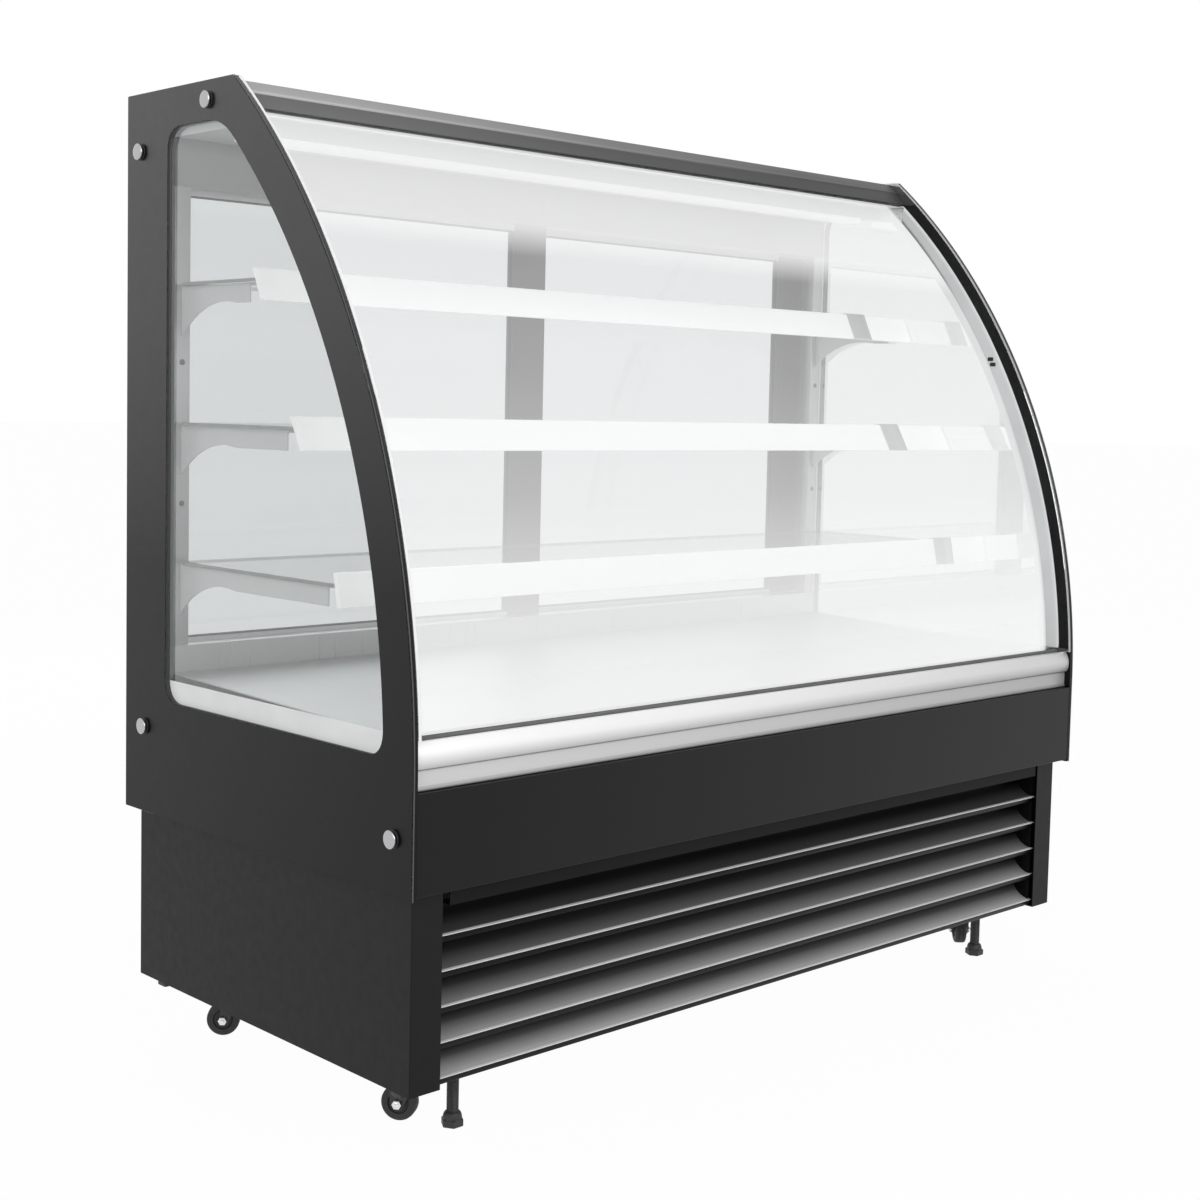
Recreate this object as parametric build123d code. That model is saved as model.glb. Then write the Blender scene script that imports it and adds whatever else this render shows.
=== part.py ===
from build123d import *
import math
import os

# Refrigerated bakery display case with a curved front glass, glazed ends,
# three lit glass shelves, sliding rear doors and a louvred plinth.
# Millimetres. Origin at the middle of the footprint on the floor,
# +X along the width, -Y towards the customer, +Z up.

# Overall form
case_width = 1500.0
case_depth = 712.0
case_height = 1418.0
end_panel_bottom = 350.0
nose_height = 500.0
front_radius = 1205.0
gap = 0.3

# Glazed end panels
outer_pane = 4.0
border_board = 4.0
inner_pane = 6.0
window_border = 62.5
window_bottom = 524.0
window_top_drop = 57.0
window_rear_inset = 115.0
window_corner = 30.0
bolt_hole_r = 6.0

# Stand-off bolts that hold the end panels
crown_bolt_back = 488.5
crown_bolt_drop = 28.0
rear_bolt_inset = 38.7
rear_bolt_drop = 85.0
tub_bolt_inset = 55.0
tub_bolt_rise = 130.0
nose_bolt_back = 39.7
nose_bolt_rise = 74.0
bolt_cap_r = 12.2
bolt_cap_proud = 8.0
bolt_washer = 1.5
bolt_shank_r = 5.0

# Front glass and its top hinge
glass_set_back = 24.0
glass_thickness = 6.0
glass_bottom = 554.0
hinge_below_lip = 8.4
hinge_barrel_r = 6.0
hinge_pin_r = 3.0
pin_clearance = 0.05

# Top beam, canopy and ceiling light
beam_inset = 13.0
beam_seam_drop = 20.0
beam_lip_inset = 20.0
beam_lip_drop = 44.0
beam_wall = 10.0
roof_sheet = 3.0
roof_drop = 3.0
valance_behind_lip = 29.2
ceiling_drop = 68.0
rear_header_drop = 137.0
diffuser_depth = 46.0
diffuser_thick = 10.0
diffuser_from_valance = 30.0

# Tub, deck and front trims
tub_wall = 40.0
tub_floor = 40.0
tub_front_back = 24.0
tub_rear_inset = 14.0
sill_z = 548.0
bumper_bulge_back = 3.0
bumper_top_back = 12.0
bumper_mid_z = 530.0
bumper_seam_z = 514.0
flat_trim_back = 11.5
fascia_back = 0.8
fascia_bottom = 353.6
fascia_top = 486.0
fascia_sheet = 1.5
deck_rear_z = 566.0
deck_front_back = 60.0
deck_sheet = 2.0

# Plinth
plinth_bottom = 88.0
plinth_side_inset = 18.0
plinth_front_back = 22.0
plinth_rear_inset = 14.0
plinth_sheet = 1.5
front_post_width = 50.0
rear_return = 40.0
bottom_return = 22.0
blade_count = 5
blade_pitch = 47.2
first_lip_z = 288.3
blade_bend_r = 40.0
blade_sweep = 80.0
blade_sheet = 2.0
blade_hem = 8.6
blade_end_gap = 5.0
blade_carrier = 12.0
grille_slots = 9

# Feet and castors
foot_end_inset = 145.0
foot_front_inset = 90.0
foot_stem_r = 8.5
foot_hex_r = 15.0
foot_hex_height = 10.0
castor_end_inset = 114.0
castor_front_inset = 142.0
castor_rear_inset = 127.0
castor_trail = 15.0
wheel_r = 25.0
wheel_width = 20.0
axle_r = 4.0
fork_sheet = 2.5
fork_gap = 1.5
fork_top = 66.0
swivel_r = 20.0
pedal_width = 26.0

# Shelves
shelf_heights = [733.0, 937.0, 1141.0]
shelf_fronts = [190.0, 290.0, 386.0]
shelf_rear_inset = 122.0
shelf_glass_thick = 6.0
shelf_side_gap = 6.0
strip_leans = [12.0, 29.0, 25.0]
strip_height = 46.0
strip_above = 14.0
strip_thick = 9.0
bracket_sheet = 2.5
bracket_rear_depth = 72.0
bracket_tip_depth = 27.0
bracket_tip_short = 24.0
post_width = 26.0
post_rear_inset = 112.0
post_depth = 20.0
post_slot_pitch = 51.0

# Rear frame and sliding doors
jamb_width = 32.0
jamb_rear_inset = 10.0
sill_wall_top = 606.0
track_rear_inset = 85.0
door_thick = 16.0
door_stile = 74.0
door_slim = 18.0
door_overlap = 30.0
track_height = 14.0
track_web = 2.0
door_glass_thick = 8.0
pull_width = 26.0
pull_height = 120.0

# Refrigeration and controls
coil_height = 90.0
coil_depth = 180.0
coil_length = 900.0
coil_plate_count = 24
fan_blade_r = 62.0
condenser_fan_r = 110.0
condenser_length = 300.0
condenser_height = 210.0
condenser_depth = 70.0
compressor_r = 78.0
compressor_height = 175.0

# Smaller sizes of the same pieces
valance_drop = 7.0
valance_thick = 6.0
light_length = 1380.0
sill_rear_inset = 114.0
gasket_width = 8.0
gasket_round = 2.0
bumper_rise = 2.0
bumper_seam_back = 7.0
flat_trim_round = 1.5
header_back = 20.0
header_depth = 24.0
header_bottom = 329.6
header_short = 10.0
lip_back = 30.0
carrier_sheet = 2.0
floor_sheet = 2.0
floor_front_back = 48.0
floor_edge = 26.0
floor_edge_start = 60.0
grille_first_z = 130.0
grille_pitch = 22.0
grille_slot_length = 420.0
grille_slot_height = 7.0
grille_web = 30.0
strip_x = 732.0
strip_round = 2.0
shelf_corner_r = 6.0
bracket_sweep = 148.0
bracket_side_gap = 12.0
bracket_flange = 14.0
bracket_flange_short = 12.0
slide_clearance = 0.5
door_lift = 3.0
jamb_side = 4.0
jamb_front = 5.0
pull_depth = 6.0
glass_bite = 6.0
fan_hub = 22.0
fan_pitch = 28.0
fan_sheet = 2.0
fan_shaft_r = 3.0
fan_stand_off = 70.0
motor_gap = 1.0
motor_length = 34.0
motor_foot = 12.0
evaporator_motor_r = 24.0
condenser_motor_r = 34.0
coil_back = 130.0
tube_r = 5.0
bend_length = 12.0
coil_core_share = 0.6
plate_sheet = 1.0
condenser_plate_count = 20
condenser_x = 260.0
condenser_back = 150.0
compressor_x = -160.0
compressor_back = 400.0
compressor_foot = 14.0
control_x = 560.0
control_z = 450.0
control_width = 180.0
control_height = 70.0
control_depth = 12.0
control_round = 5.0
rocker_width = 15.0
rocker_height = 26.0
rocker_depth = 6.0
rocker_rise = 1.5
rocker_pin_r = 1.5
rocker_pin_length = 1.2
race_height = 6.0
neck_r = 13.0
crown_back = 14.0
crown_front = 16.0
ear_r = 7.0
nut_r = 7.0
nut_height = 3.0
tread_round = 3.5
pedal_pivot_x = 24.0
pedal_z = 60.0
pedal_pin_r = 2.0
pedal_barrel_r = 4.0
pedal_reach = 46.0
foot_cone = 12.0
foot_stem_top = 104.0
castor_angles = [125.0, 46.0, 140.0, 60.0]

# Places worked out from the sizes above
front = -case_depth / 2
half = case_width / 2
arc_y = front + front_radius
arc_z = nose_height
board_x = half - outer_pane
trim_x = half - outer_pane - border_board
inside_x = trim_x - inner_pane
span_x = inside_x - gap
fascia_x = trim_x - gap
plinth_x = half - plinth_side_inset
foot_x = half - foot_end_inset
castor_x = half - castor_end_inset
window_top = case_height - window_top_drop
ceiling_z = case_height - ceiling_drop
rear_header_bottom = case_height - rear_header_drop
beam_top_z = case_height - roof_drop
beam_seam_z = case_height - beam_seam_drop
beam_lip_z = case_height - beam_lip_drop
window_rear = case_depth - window_rear_inset
tub_rear_back = case_depth - tub_rear_inset
plinth_rear_back = case_depth - plinth_rear_inset
castor_rear_back = case_depth - castor_rear_inset
shelf_back = case_depth - shelf_rear_inset
post_front_back = case_depth - post_rear_inset
jamb_rear_back = case_depth - jamb_rear_inset
track_front_back = case_depth - track_rear_inset
sill_wall_front = case_depth - sill_rear_inset
bolt_places = [
    (crown_bolt_back, case_height - crown_bolt_drop),
    (case_depth - rear_bolt_inset, case_height - rear_bolt_drop),
    (case_depth - tub_bolt_inset, end_panel_bottom + tub_bolt_rise),
    (nose_bolt_back, end_panel_bottom + nose_bolt_rise),
]


def back(distance):
    """A Y place given as a distance behind the end panels' front edge."""
    return front + distance


def block(x0, x1, y0, y1, z0, z1):
    """A box from its two corners."""
    middle = Pos((x0 + x1) / 2, (y0 + y1) / 2, (z0 + z1) / 2)
    return middle * Box(abs(x1 - x0), abs(y1 - y0), abs(z1 - z0))


def along_x(face, x0, x1):
    """A face drawn as (Y, Z) carried from x0 to x1."""
    return extrude(Plane.YZ.offset(min(x0, x1)) * face, amount=abs(x1 - x0))


def polygon(points):
    """A flat face inside a closed run of points."""
    return make_face(Polyline(*points, close=True))


def rod(start, end, radius):
    """A round bar between two points."""
    axis = Vector(*end) - Vector(*start)
    disc = Plane(origin=start, z_dir=axis) * Circle(radius)
    return extrude(disc, amount=axis.length)


def arc_point(inset, z):
    """The Y place of the front curve, moved in by inset, at a height."""
    reach = front_radius - inset
    rise = z - arc_z
    return arc_y - math.sqrt(reach * reach - rise * rise)


def curved_face(inset, bottom, top, rear):
    """The end panel outline moved in from the front curve, as (Y, Z)."""
    low = (front + inset, bottom)
    nose = (front + inset, arc_z)
    crown = (arc_point(inset, top), top)
    lean = (math.asin((top - arc_z) / (front_radius - inset))) / 2
    reach = front_radius - inset
    middle = (arc_y - reach * math.cos(lean), arc_z + reach * math.sin(lean))
    edges = [
        Line(low, nose),
        ThreePointArc(nose, middle, crown),
        Line(crown, (rear, top)),
        Line((rear, top), (rear, bottom)),
        Line((rear, bottom), low),
    ]
    return make_face(edges)


def low_curved_face(inset, bottom, top, rear):
    """The same outline where its foot stands above the start of the curve."""
    reach = front_radius - inset
    low = (arc_point(inset, bottom), bottom)
    crown = (arc_point(inset, top), top)
    lean = (math.asin((top - arc_z) / reach) + math.asin((bottom - arc_z) / reach)) / 2
    middle = (arc_y - reach * math.cos(lean), arc_z + reach * math.sin(lean))
    edges = [
        ThreePointArc(low, middle, crown),
        Line(crown, (rear, top)),
        Line((rear, top), (rear, bottom)),
        Line((rear, bottom), low),
    ]
    return make_face(edges)


def mirrored(shape):
    """The same piece on the other end of the case."""
    return mirror(shape, about=Plane.YZ)


def bolt_holes(x0, x1, radius):
    """Holes through an end panel at each stand-off bolt."""
    holes = [rod((x0, back(y), z), (x1, back(y), z), radius) for y, z in bolt_places]
    return holes


# Glazed end panels: outer pane, black border board and inner pane
def end_outer_pane():
    face = curved_face(0, end_panel_bottom, case_height, -front)
    return along_x(face, -half, -board_x) - bolt_holes(-half - 1, -board_x + 1, bolt_hole_r)


def window_face():
    face = low_curved_face(window_border, window_bottom, window_top, back(window_rear))
    return fillet(face.vertices(), window_corner)


def end_border_board():
    face = curved_face(0, end_panel_bottom, case_height, -front)
    board = along_x(face, -board_x, -trim_x) - along_x(window_face(), -board_x - 1, -trim_x + 1)
    return board - bolt_holes(-board_x - 1, -trim_x + 1, bolt_hole_r)


def end_inner_pane():
    face = low_curved_face(0, sill_z + bumper_rise + gap, case_height, -front)
    pane = along_x(face, -trim_x, -inside_x)
    hinge_hole = rod((-trim_x, hinge_y, hinge_z), (-inside_x + 1, hinge_y, hinge_z),
                     hinge_pin_r + pin_clearance)
    return pane - bolt_holes(-trim_x - 1, -inside_x + 1, bolt_hole_r) - hinge_hole


def standoff_bolts():
    """Caps with a bevelled edge, each on its shank through the end panel."""
    bolts = []
    for y, z in bolt_places:
        deep = inside_x if z > sill_z else trim_x
        cap = rod((-half - bolt_cap_proud, back(y), z), (-half - bolt_washer, back(y), z), bolt_cap_r)
        cap = chamfer(cap.edges().group_by(Axis.X)[0], 1.5)
        bolt = cap + rod((-half - bolt_washer, back(y), z), (-deep, back(y), z), bolt_shank_r)
        bolts += [bolt, mirrored(bolt)]
    return bolts


# Front glass with the barrel it hangs from
glass_mid = glass_set_back + glass_thickness / 2
hinge_z = beam_lip_z - hinge_below_lip
hinge_y = arc_point(glass_mid, hinge_z)
beam_y = arc_point(beam_inset, beam_top_z)
lip_y = arc_point(beam_lip_inset, beam_lip_z)
valance_y = lip_y + valance_behind_lip


def glass_arc(inset, lower, upper):
    """One face of the front glass as an arc between two angles."""
    reach = front_radius - inset
    spots = []
    for lean in (lower, (lower + upper) / 2, upper):
        spots.append((arc_y - reach * math.cos(lean), arc_z + reach * math.sin(lean)))
    return spots


def front_glass():
    lower = math.asin((glass_bottom - arc_z) / (front_radius - glass_mid))
    upper = math.asin((hinge_z - arc_z) / (front_radius - glass_mid))
    outer = glass_arc(glass_set_back, lower, upper)
    inner = glass_arc(glass_set_back + glass_thickness, lower, upper)
    edges = [
        ThreePointArc(*outer),
        Line(outer[2], inner[2]),
        ThreePointArc(inner[2], inner[1], inner[0]),
        Line(inner[0], outer[0]),
    ]
    return along_x(make_face(edges), -span_x, span_x)


def glass_hinge():
    barrel = rod((-span_x, hinge_y, hinge_z), (span_x, hinge_y, hinge_z), hinge_barrel_r)
    pins = []
    for side in (-1, 1):
        end = side * (trim_x - gap)
        pins.append(rod((side * span_x, hinge_y, hinge_z), (end, hinge_y, hinge_z), hinge_pin_r))
    return barrel - front_glass() + pins


# Top beam, roof sheet, insulated canopy and the ceiling light
def top_beam():
    outline = [
        (beam_y, beam_top_z),
        (arc_point(beam_inset, beam_seam_z), beam_seam_z),
        (lip_y, beam_lip_z),
        (lip_y + beam_wall, beam_lip_z),
        (beam_y, beam_lip_z + beam_wall + beam_wall / 2),
    ]
    return along_x(polygon(outline), -span_x, span_x)


def roof_panel():
    return block(-span_x, span_x, beam_y + gap, back(jamb_rear_back), beam_top_z - roof_sheet, beam_top_z)


def canopy_liner():
    """Foamed ceiling with a short valance that hides the light."""
    top = beam_top_z - roof_sheet - gap
    outline = [
        (valance_y, ceiling_z - valance_drop),
        (valance_y + valance_thick, ceiling_z - valance_drop),
        (valance_y + valance_thick, ceiling_z),
        (back(jamb_rear_back), ceiling_z),
        (back(jamb_rear_back), top),
        (beam_y + gap, top),
        (beam_y + gap, beam_lip_z + valance_thick),
        (valance_y, beam_lip_z + valance_thick),
    ]
    return along_x(polygon(outline), -span_x, span_x)


def light_diffuser():
    start = valance_y + valance_thick + diffuser_from_valance
    top = ceiling_z - gap
    shade = block(-light_length / 2, light_length / 2, start, start + diffuser_depth,
                  top - diffuser_thick, top)
    return fillet(shade.edges().filter_by(Axis.X).group_by(Axis.Z)[0], diffuser_thick * 0.6)


# Insulated tub, the deck over it and the trims across its front
def insulated_tub():
    y0, y1 = back(tub_front_back), back(tub_rear_back)
    shell = block(-fascia_x, fascia_x, y0, y1, fascia_bottom, sill_z)
    hollow = block(-fascia_x + tub_wall, fascia_x - tub_wall, y0 + tub_wall, back(shelf_back),
                   fascia_bottom + tub_floor, sill_z + 1)
    return shell - hollow


def deck_pan():
    """Sloping display floor above the evaporator."""
    y0, y1 = back(deck_front_back), back(sill_wall_front) - gap
    low, high = sill_z + gap, deck_rear_z - deck_sheet
    outline = [(y0, low), (y0, low + deck_sheet), (y1, high + deck_sheet), (y1, high)]
    return along_x(polygon(outline), -span_x, span_x)


def rear_sill():
    """Steel-faced sill under the doors, with the step that holds their track."""
    y0, y1 = back(sill_wall_front), back(jamb_rear_back)
    step = back(track_front_back) - gap
    low, shelf = sill_z + gap, sill_wall_top - track_height - gap
    outline = [(y0, low), (y1, low), (y1, shelf), (step, shelf), (step, sill_wall_top), (y0, sill_wall_top)]
    return along_x(polygon(outline), -span_x, span_x)


def rear_header():
    """Steel-faced header above the doors, with the step that holds their track."""
    y0, y1 = back(post_front_back), back(jamb_rear_back)
    step = back(track_front_back) - gap
    high, shelf = ceiling_z - gap, track_top + gap
    outline = [(y0, high), (y1, high), (y1, shelf), (step, shelf), (step, rear_header_bottom),
               (y0, rear_header_bottom)]
    return along_x(polygon(outline), -span_x, span_x)


def sill_gasket():
    """Soft strip on the tub that the front glass closes onto."""
    y0 = back(glass_set_back) + gap
    z0 = sill_z + gap
    strip = block(-span_x, span_x, y0, y0 + gasket_width, z0, glass_bottom - gap)
    return fillet(strip.edges().filter_by(Axis.X).group_by(Axis.Z)[-1], gasket_round)


def bumper_round():
    """Rounded extrusion along the foot of the glass."""
    rear = back(tub_front_back) - gap
    base = bumper_seam_z + gap
    nose = ThreePointArc((back(bumper_seam_back), base), (back(bumper_bulge_back), bumper_mid_z),
                         (back(bumper_top_back), sill_z + bumper_rise))
    edges = [
        nose,
        Line((back(bumper_top_back), sill_z + bumper_rise), (rear, sill_z)),
        Line((rear, sill_z), (rear, base)),
        Line((rear, base), (back(bumper_seam_back), base)),
    ]
    return along_x(make_face(edges), -fascia_x, fascia_x)


def bumper_flat():
    rear = back(tub_front_back) - gap
    strip = block(-fascia_x, fascia_x, back(flat_trim_back), rear, fascia_top + gap, bumper_seam_z)
    return fillet(strip.edges().filter_by(Axis.X).group_by(Axis.Y)[0], flat_trim_round)


def fascia_panel():
    """Folded sheet with a return along its top and its foot."""
    rear = back(tub_front_back) - gap
    outer = block(-fascia_x, fascia_x, back(fascia_back), rear, fascia_bottom, fascia_top)
    outer = fillet(outer.edges().filter_by(Axis.X).group_by(Axis.Y)[0], fascia_sheet)
    inner = block(-fascia_x - 1, fascia_x + 1, back(fascia_back) + fascia_sheet, rear + 1,
                  fascia_bottom + fascia_sheet, fascia_top - fascia_sheet)
    return outer - inner


# Plinth: folded sides, header, louvre, floor and rear grille
plinth_top = fascia_bottom - gap


def plinth_side():
    """Folded end sheet with front post, rear return and foot flange."""
    y0, y1 = back(plinth_front_back), back(plinth_rear_back)
    outer = block(-plinth_x, -plinth_x + front_post_width, y0, y1, plinth_bottom, plinth_top)
    outer = fillet(outer.edges().filter_by(Axis.Z).group_by(Axis.X)[0], plinth_sheet)
    inner = block(-plinth_x + plinth_sheet, 0, y0 + plinth_sheet, y1 - plinth_sheet,
                  plinth_bottom + plinth_sheet, plinth_top + 1)
    trim_rear = block(-plinth_x + rear_return, 0, y1 - plinth_sheet - 1, y1 + 1,
                      plinth_bottom - 1, plinth_top + 1)
    trim_foot = block(-plinth_x + bottom_return, 0, y0 + bottom_return, y1 - bottom_return,
                      plinth_bottom - 1, plinth_bottom + plinth_sheet + 1)
    return outer - inner - trim_rear - trim_foot


def louvre_header():
    """Channel across the top of the louvre."""
    end = plinth_x - front_post_width - header_short
    y0 = back(header_back)
    outer = block(-end, end, y0, y0 + header_depth, header_bottom, plinth_top)
    inner = block(-end - 1, end + 1, y0 + plinth_sheet, y0 + header_depth + 1,
                  header_bottom + plinth_sheet, plinth_top - plinth_sheet)
    return outer - inner


def blade_face(lip_z):
    """One trough-shaped blade with a turned-down hem at its front, as (Y, Z)."""
    y0, middle_z = back(lip_back), lip_z + blade_bend_r
    outer_r = blade_bend_r + blade_sheet

    def on_arc(radius, degrees):
        lean = math.radians(degrees)
        return (y0 + radius * math.sin(lean), middle_z - radius * math.cos(lean))

    start = math.degrees(math.asin(blade_sheet / outer_r))
    return make_face([
        Line((y0, lip_z - blade_hem), (y0, lip_z)),
        ThreePointArc((y0, lip_z), on_arc(blade_bend_r, blade_sweep / 2), on_arc(blade_bend_r, blade_sweep)),
        Line(on_arc(blade_bend_r, blade_sweep), on_arc(outer_r, blade_sweep)),
        ThreePointArc(on_arc(outer_r, blade_sweep), on_arc(outer_r, blade_sweep / 2), on_arc(outer_r, start)),
        Line(on_arc(outer_r, start), (y0 + blade_sheet, lip_z - blade_hem)),
        Line((y0 + blade_sheet, lip_z - blade_hem), (y0, lip_z - blade_hem)),
    ])


def louvre():
    """Five blades held by an upright carrier near each end."""
    end = plinth_x - front_post_width - blade_end_gap
    floor_top = plinth_bottom + plinth_sheet + gap + floor_sheet
    blades = None
    for row in range(blade_count):
        blade = along_x(blade_face(first_lip_z - row * blade_pitch), -end, end)
        blades = blade if blades is None else blades + blade
    for x in (-end + blade_carrier, end - blade_carrier):
        carrier = block(x - carrier_sheet / 2, x + carrier_sheet / 2, back(lip_back) + 2 * blade_sheet,
                        back(lip_back) + blade_bend_r + blade_hem, floor_top + gap, header_bottom - gap)
        blades = blades + carrier
    return blades


def plinth_floor():
    """Pressed floor with turned-up edges that carries the machinery."""
    low = plinth_bottom + plinth_sheet + gap
    x1 = plinth_x - plinth_sheet - gap
    y0, y1 = back(floor_front_back), back(plinth_rear_back) - plinth_sheet - gap
    pan = block(-x1, x1, y0, y1, low, low + floor_sheet)
    for side in (-1, 1):
        edge = side * x1
        pan = pan + block(edge, edge - side * floor_sheet, y0 + floor_edge_start, y1, low, low + floor_edge)
    pan = pan + block(-x1, x1, y1 - floor_sheet, y1, low, low + floor_edge)
    stems = [Pos(side * foot_x, back(foot_front_inset), low) * Cylinder(foot_stem_r + pin_clearance, 2 * floor_edge)
             for side in (-1, 1)]
    return pan - stems


def rear_grille():
    """Service panel with a field of air slots."""
    x1 = plinth_x - rear_return - gap
    y1 = back(plinth_rear_back)
    plate = block(-x1, x1, y1 - plinth_sheet, y1, plinth_bottom, plinth_top)
    slots = []
    for column in (-1, 1):
        for row in range(grille_slots):
            z = grille_first_z + row * grille_pitch
            middle = column * (grille_slot_length / 2 + grille_web)
            slots.append(Pos(middle, y1, z) * Rot(X=90) * Box(grille_slot_length, grille_slot_height, 20))
    return plate - slots


# Shelf standards, brackets, glass shelves and their lit front strips
def shelf_posts():
    """Slotted standards in the rear corners."""
    posts = []
    y0 = back(post_front_back)
    low, high = sill_wall_top + gap, rear_header_bottom - gap
    count = int((high - low) / post_slot_pitch)
    for side in (-1, 1):
        outer = side * span_x
        post = block(outer, outer - side * post_width, y0, y0 + post_depth, low, high)
        middle = outer - side * post_width / 2
        slots = [Pos(middle, y0, low + post_slot_pitch * (row + 0.5)) * Box(4, 14, 12) for row in range(count)]
        posts.append(post - slots)
    return posts


def strip_outline(level, lean):
    """A leaning lit strip as (Y, Z), its top edge above the glass."""
    slope = math.tan(math.radians(lean))
    top_y = back(shelf_fronts[level]) + strip_above * slope
    top_z = shelf_heights[level] + strip_above
    low_y, low_z = top_y - strip_height * slope, top_z - strip_height
    return [(low_y, low_z), (top_y, top_z), (top_y + strip_thick, top_z), (low_y + strip_thick, low_z)]


def light_strip(level):
    strip = along_x(polygon(strip_outline(level, strip_leans[level])), -strip_x, strip_x)
    return fillet(strip.edges().filter_by(Axis.X).group_by(Axis.Z)[-1], strip_round)


def shelf_glass(level):
    """Shelf glass from its lit strip back to the standards."""
    z1 = shelf_heights[level]
    y0 = back(shelf_fronts[level]) + strip_thick + gap
    x1 = inside_x - shelf_side_gap
    pane = block(-x1, x1, y0, back(shelf_back), z1 - shelf_glass_thick, z1)
    return fillet(pane.edges().filter_by(Axis.Z), shelf_corner_r)


def shelf_bracket(level, side):
    """Gusset with a flange that the shelf glass lies on."""
    top = shelf_heights[level] - shelf_glass_thick - gap
    y0 = back(shelf_fronts[level]) + strip_thick + bracket_tip_short
    y1 = back(post_front_back) - gap
    knee = (y1 - bracket_sweep, top - bracket_tip_depth)
    heel = (y1, top - bracket_rear_depth)
    bend = (y1 - bracket_sweep * 0.36, top - bracket_tip_depth - bracket_rear_depth * 0.13)
    face = make_face([
        Line((y0, top), (y0, top - bracket_tip_depth)),
        Line((y0, top - bracket_tip_depth), knee),
        ThreePointArc(knee, bend, heel),
        Line(heel, (y1, top)),
        Line((y1, top), (y0, top)),
    ])
    outer = side * (inside_x - bracket_side_gap)
    web = along_x(face, outer - side * bracket_sheet, outer)
    flange = block(outer, outer - side * bracket_flange, y0, y1 - bracket_flange_short, top - bracket_sheet, top)
    return web + flange


def shelf_brackets():
    return [shelf_bracket(level, side) for level in range(len(shelf_heights)) for side in (-1, 1)]


# Rear frame, tracks and the two sliding doors
groove = door_thick + 2 * slide_clearance
track_depth = 3 * track_web + 2 * groove
track_top = rear_header_bottom + track_height
door_low = sill_wall_top - track_height + track_web + gap
door_high = track_top - track_web - door_lift
door_end = span_x - jamb_side - gap
door_width = door_end + door_overlap / 2


def door_track(low, web_low):
    """A length of track with two grooves, its web below or above."""
    y0 = back(track_front_back)
    rail = block(-span_x, span_x, y0, y0 + track_depth, low, low + track_height)
    for lane in range(2):
        start = y0 + track_web + lane * (groove + track_web)
        cut_low = low + track_web if web_low else low - 1
        cut_high = low + track_height + 1 if web_low else low + track_height - track_web
        rail = rail - block(-span_x - 1, span_x + 1, start, start + groove, cut_low, cut_high)
    return rail


def door_tracks():
    return [door_track(sill_wall_top - track_height, True), door_track(rear_header_bottom, False)]


def door_jambs():
    """Angle-shaped posts that the doors close against."""
    jambs = []
    y0, y1 = back(track_front_back) - jamb_front, back(jamb_rear_back)
    flange_y = back(track_front_back) + track_depth + gap
    low, high = sill_wall_top + gap, rear_header_bottom - gap
    for side in (-1, 1):
        outer = side * span_x
        stem = block(outer, outer - side * jamb_side, y0, y1, low, high)
        flange = block(outer, outer - side * jamb_width, flange_y, y1, low, high)
        jambs.append(stem + flange)
    return jambs


def lane_y(lane):
    return back(track_front_back) + track_web + slide_clearance + lane * (groove + track_web)


def door_span(side):
    """Where a door starts and ends along the case."""
    return (-door_end, door_width - door_end) if side < 0 else (door_end - door_width, door_end)


def door_frame(side, lane):
    """Slim frame on three edges, grooved for the glass; the wide pull stile closes its right end."""
    y0 = lane_y(lane)
    start, end = door_span(side)
    frame = block(start, end - door_stile, y0, y0 + door_thick, door_low, door_high)
    light = block(start + door_slim, end, y0 - 1, y0 + door_thick + 1, door_low + door_slim, door_high - door_slim)
    return frame - light - glass_block(side, lane, glass_bite + gap, door_glass_thick + 2 * gap)


def door_stile_piece(side, lane):
    """Wide stile with a finger pull, grooved for the glass."""
    y0 = lane_y(lane)
    end = door_span(side)[1]
    stile = block(end - door_stile, end, y0, y0 + door_thick, door_low, door_high)
    pull_x, pull_z = end - door_stile / 2, (door_low + door_high) / 2
    rear = y0 + door_thick
    pull = block(pull_x - pull_width / 2, pull_x + pull_width / 2, rear - pull_depth, rear + 1,
                 pull_z - pull_height / 2, pull_z + pull_height / 2)
    pull = fillet(pull.edges().filter_by(Axis.Y), pull_width * 0.45)
    return stile - glass_block(side, lane, glass_bite + gap, door_glass_thick + 2 * gap) - pull


def glass_block(side, lane, bite, thick):
    """The door glass, or the room for it, held by its edges."""
    y0 = lane_y(lane) + (door_thick - thick) / 2
    start, end = door_span(side)
    return block(start + door_slim - bite, end - door_stile + bite, y0, y0 + thick,
                 door_low + door_slim - bite, door_high - door_slim + bite)


def door_glass(side, lane):
    return glass_block(side, lane, glass_bite, door_glass_thick)


# Refrigeration: evaporator and its fan in the tub, condensing unit in the plinth
def fan_rotor(centre, radius, blade_count_here, bore_r):
    """Hub with pitched blades, turning about Y."""
    x, y, z = centre
    hub_r = radius * 0.3
    rotor = rod((x, y - fan_hub / 2, z), (x, y + fan_hub / 2, z), hub_r)
    for blade in range(blade_count_here):
        turn = 360 / blade_count_here * blade
        reach = (radius + hub_r) / 2 - 1
        sheet = Pos(0, 0, reach) * Rot(Z=fan_pitch) * Box(radius * 0.55, fan_sheet, radius - hub_r + 2)
        rotor = rotor + Pos(x, y, z) * Rot(Y=turn) * sheet
    return rotor - rod((x, y - fan_hub, z), (x, y + fan_hub / 2 - 2, z), bore_r)


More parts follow.
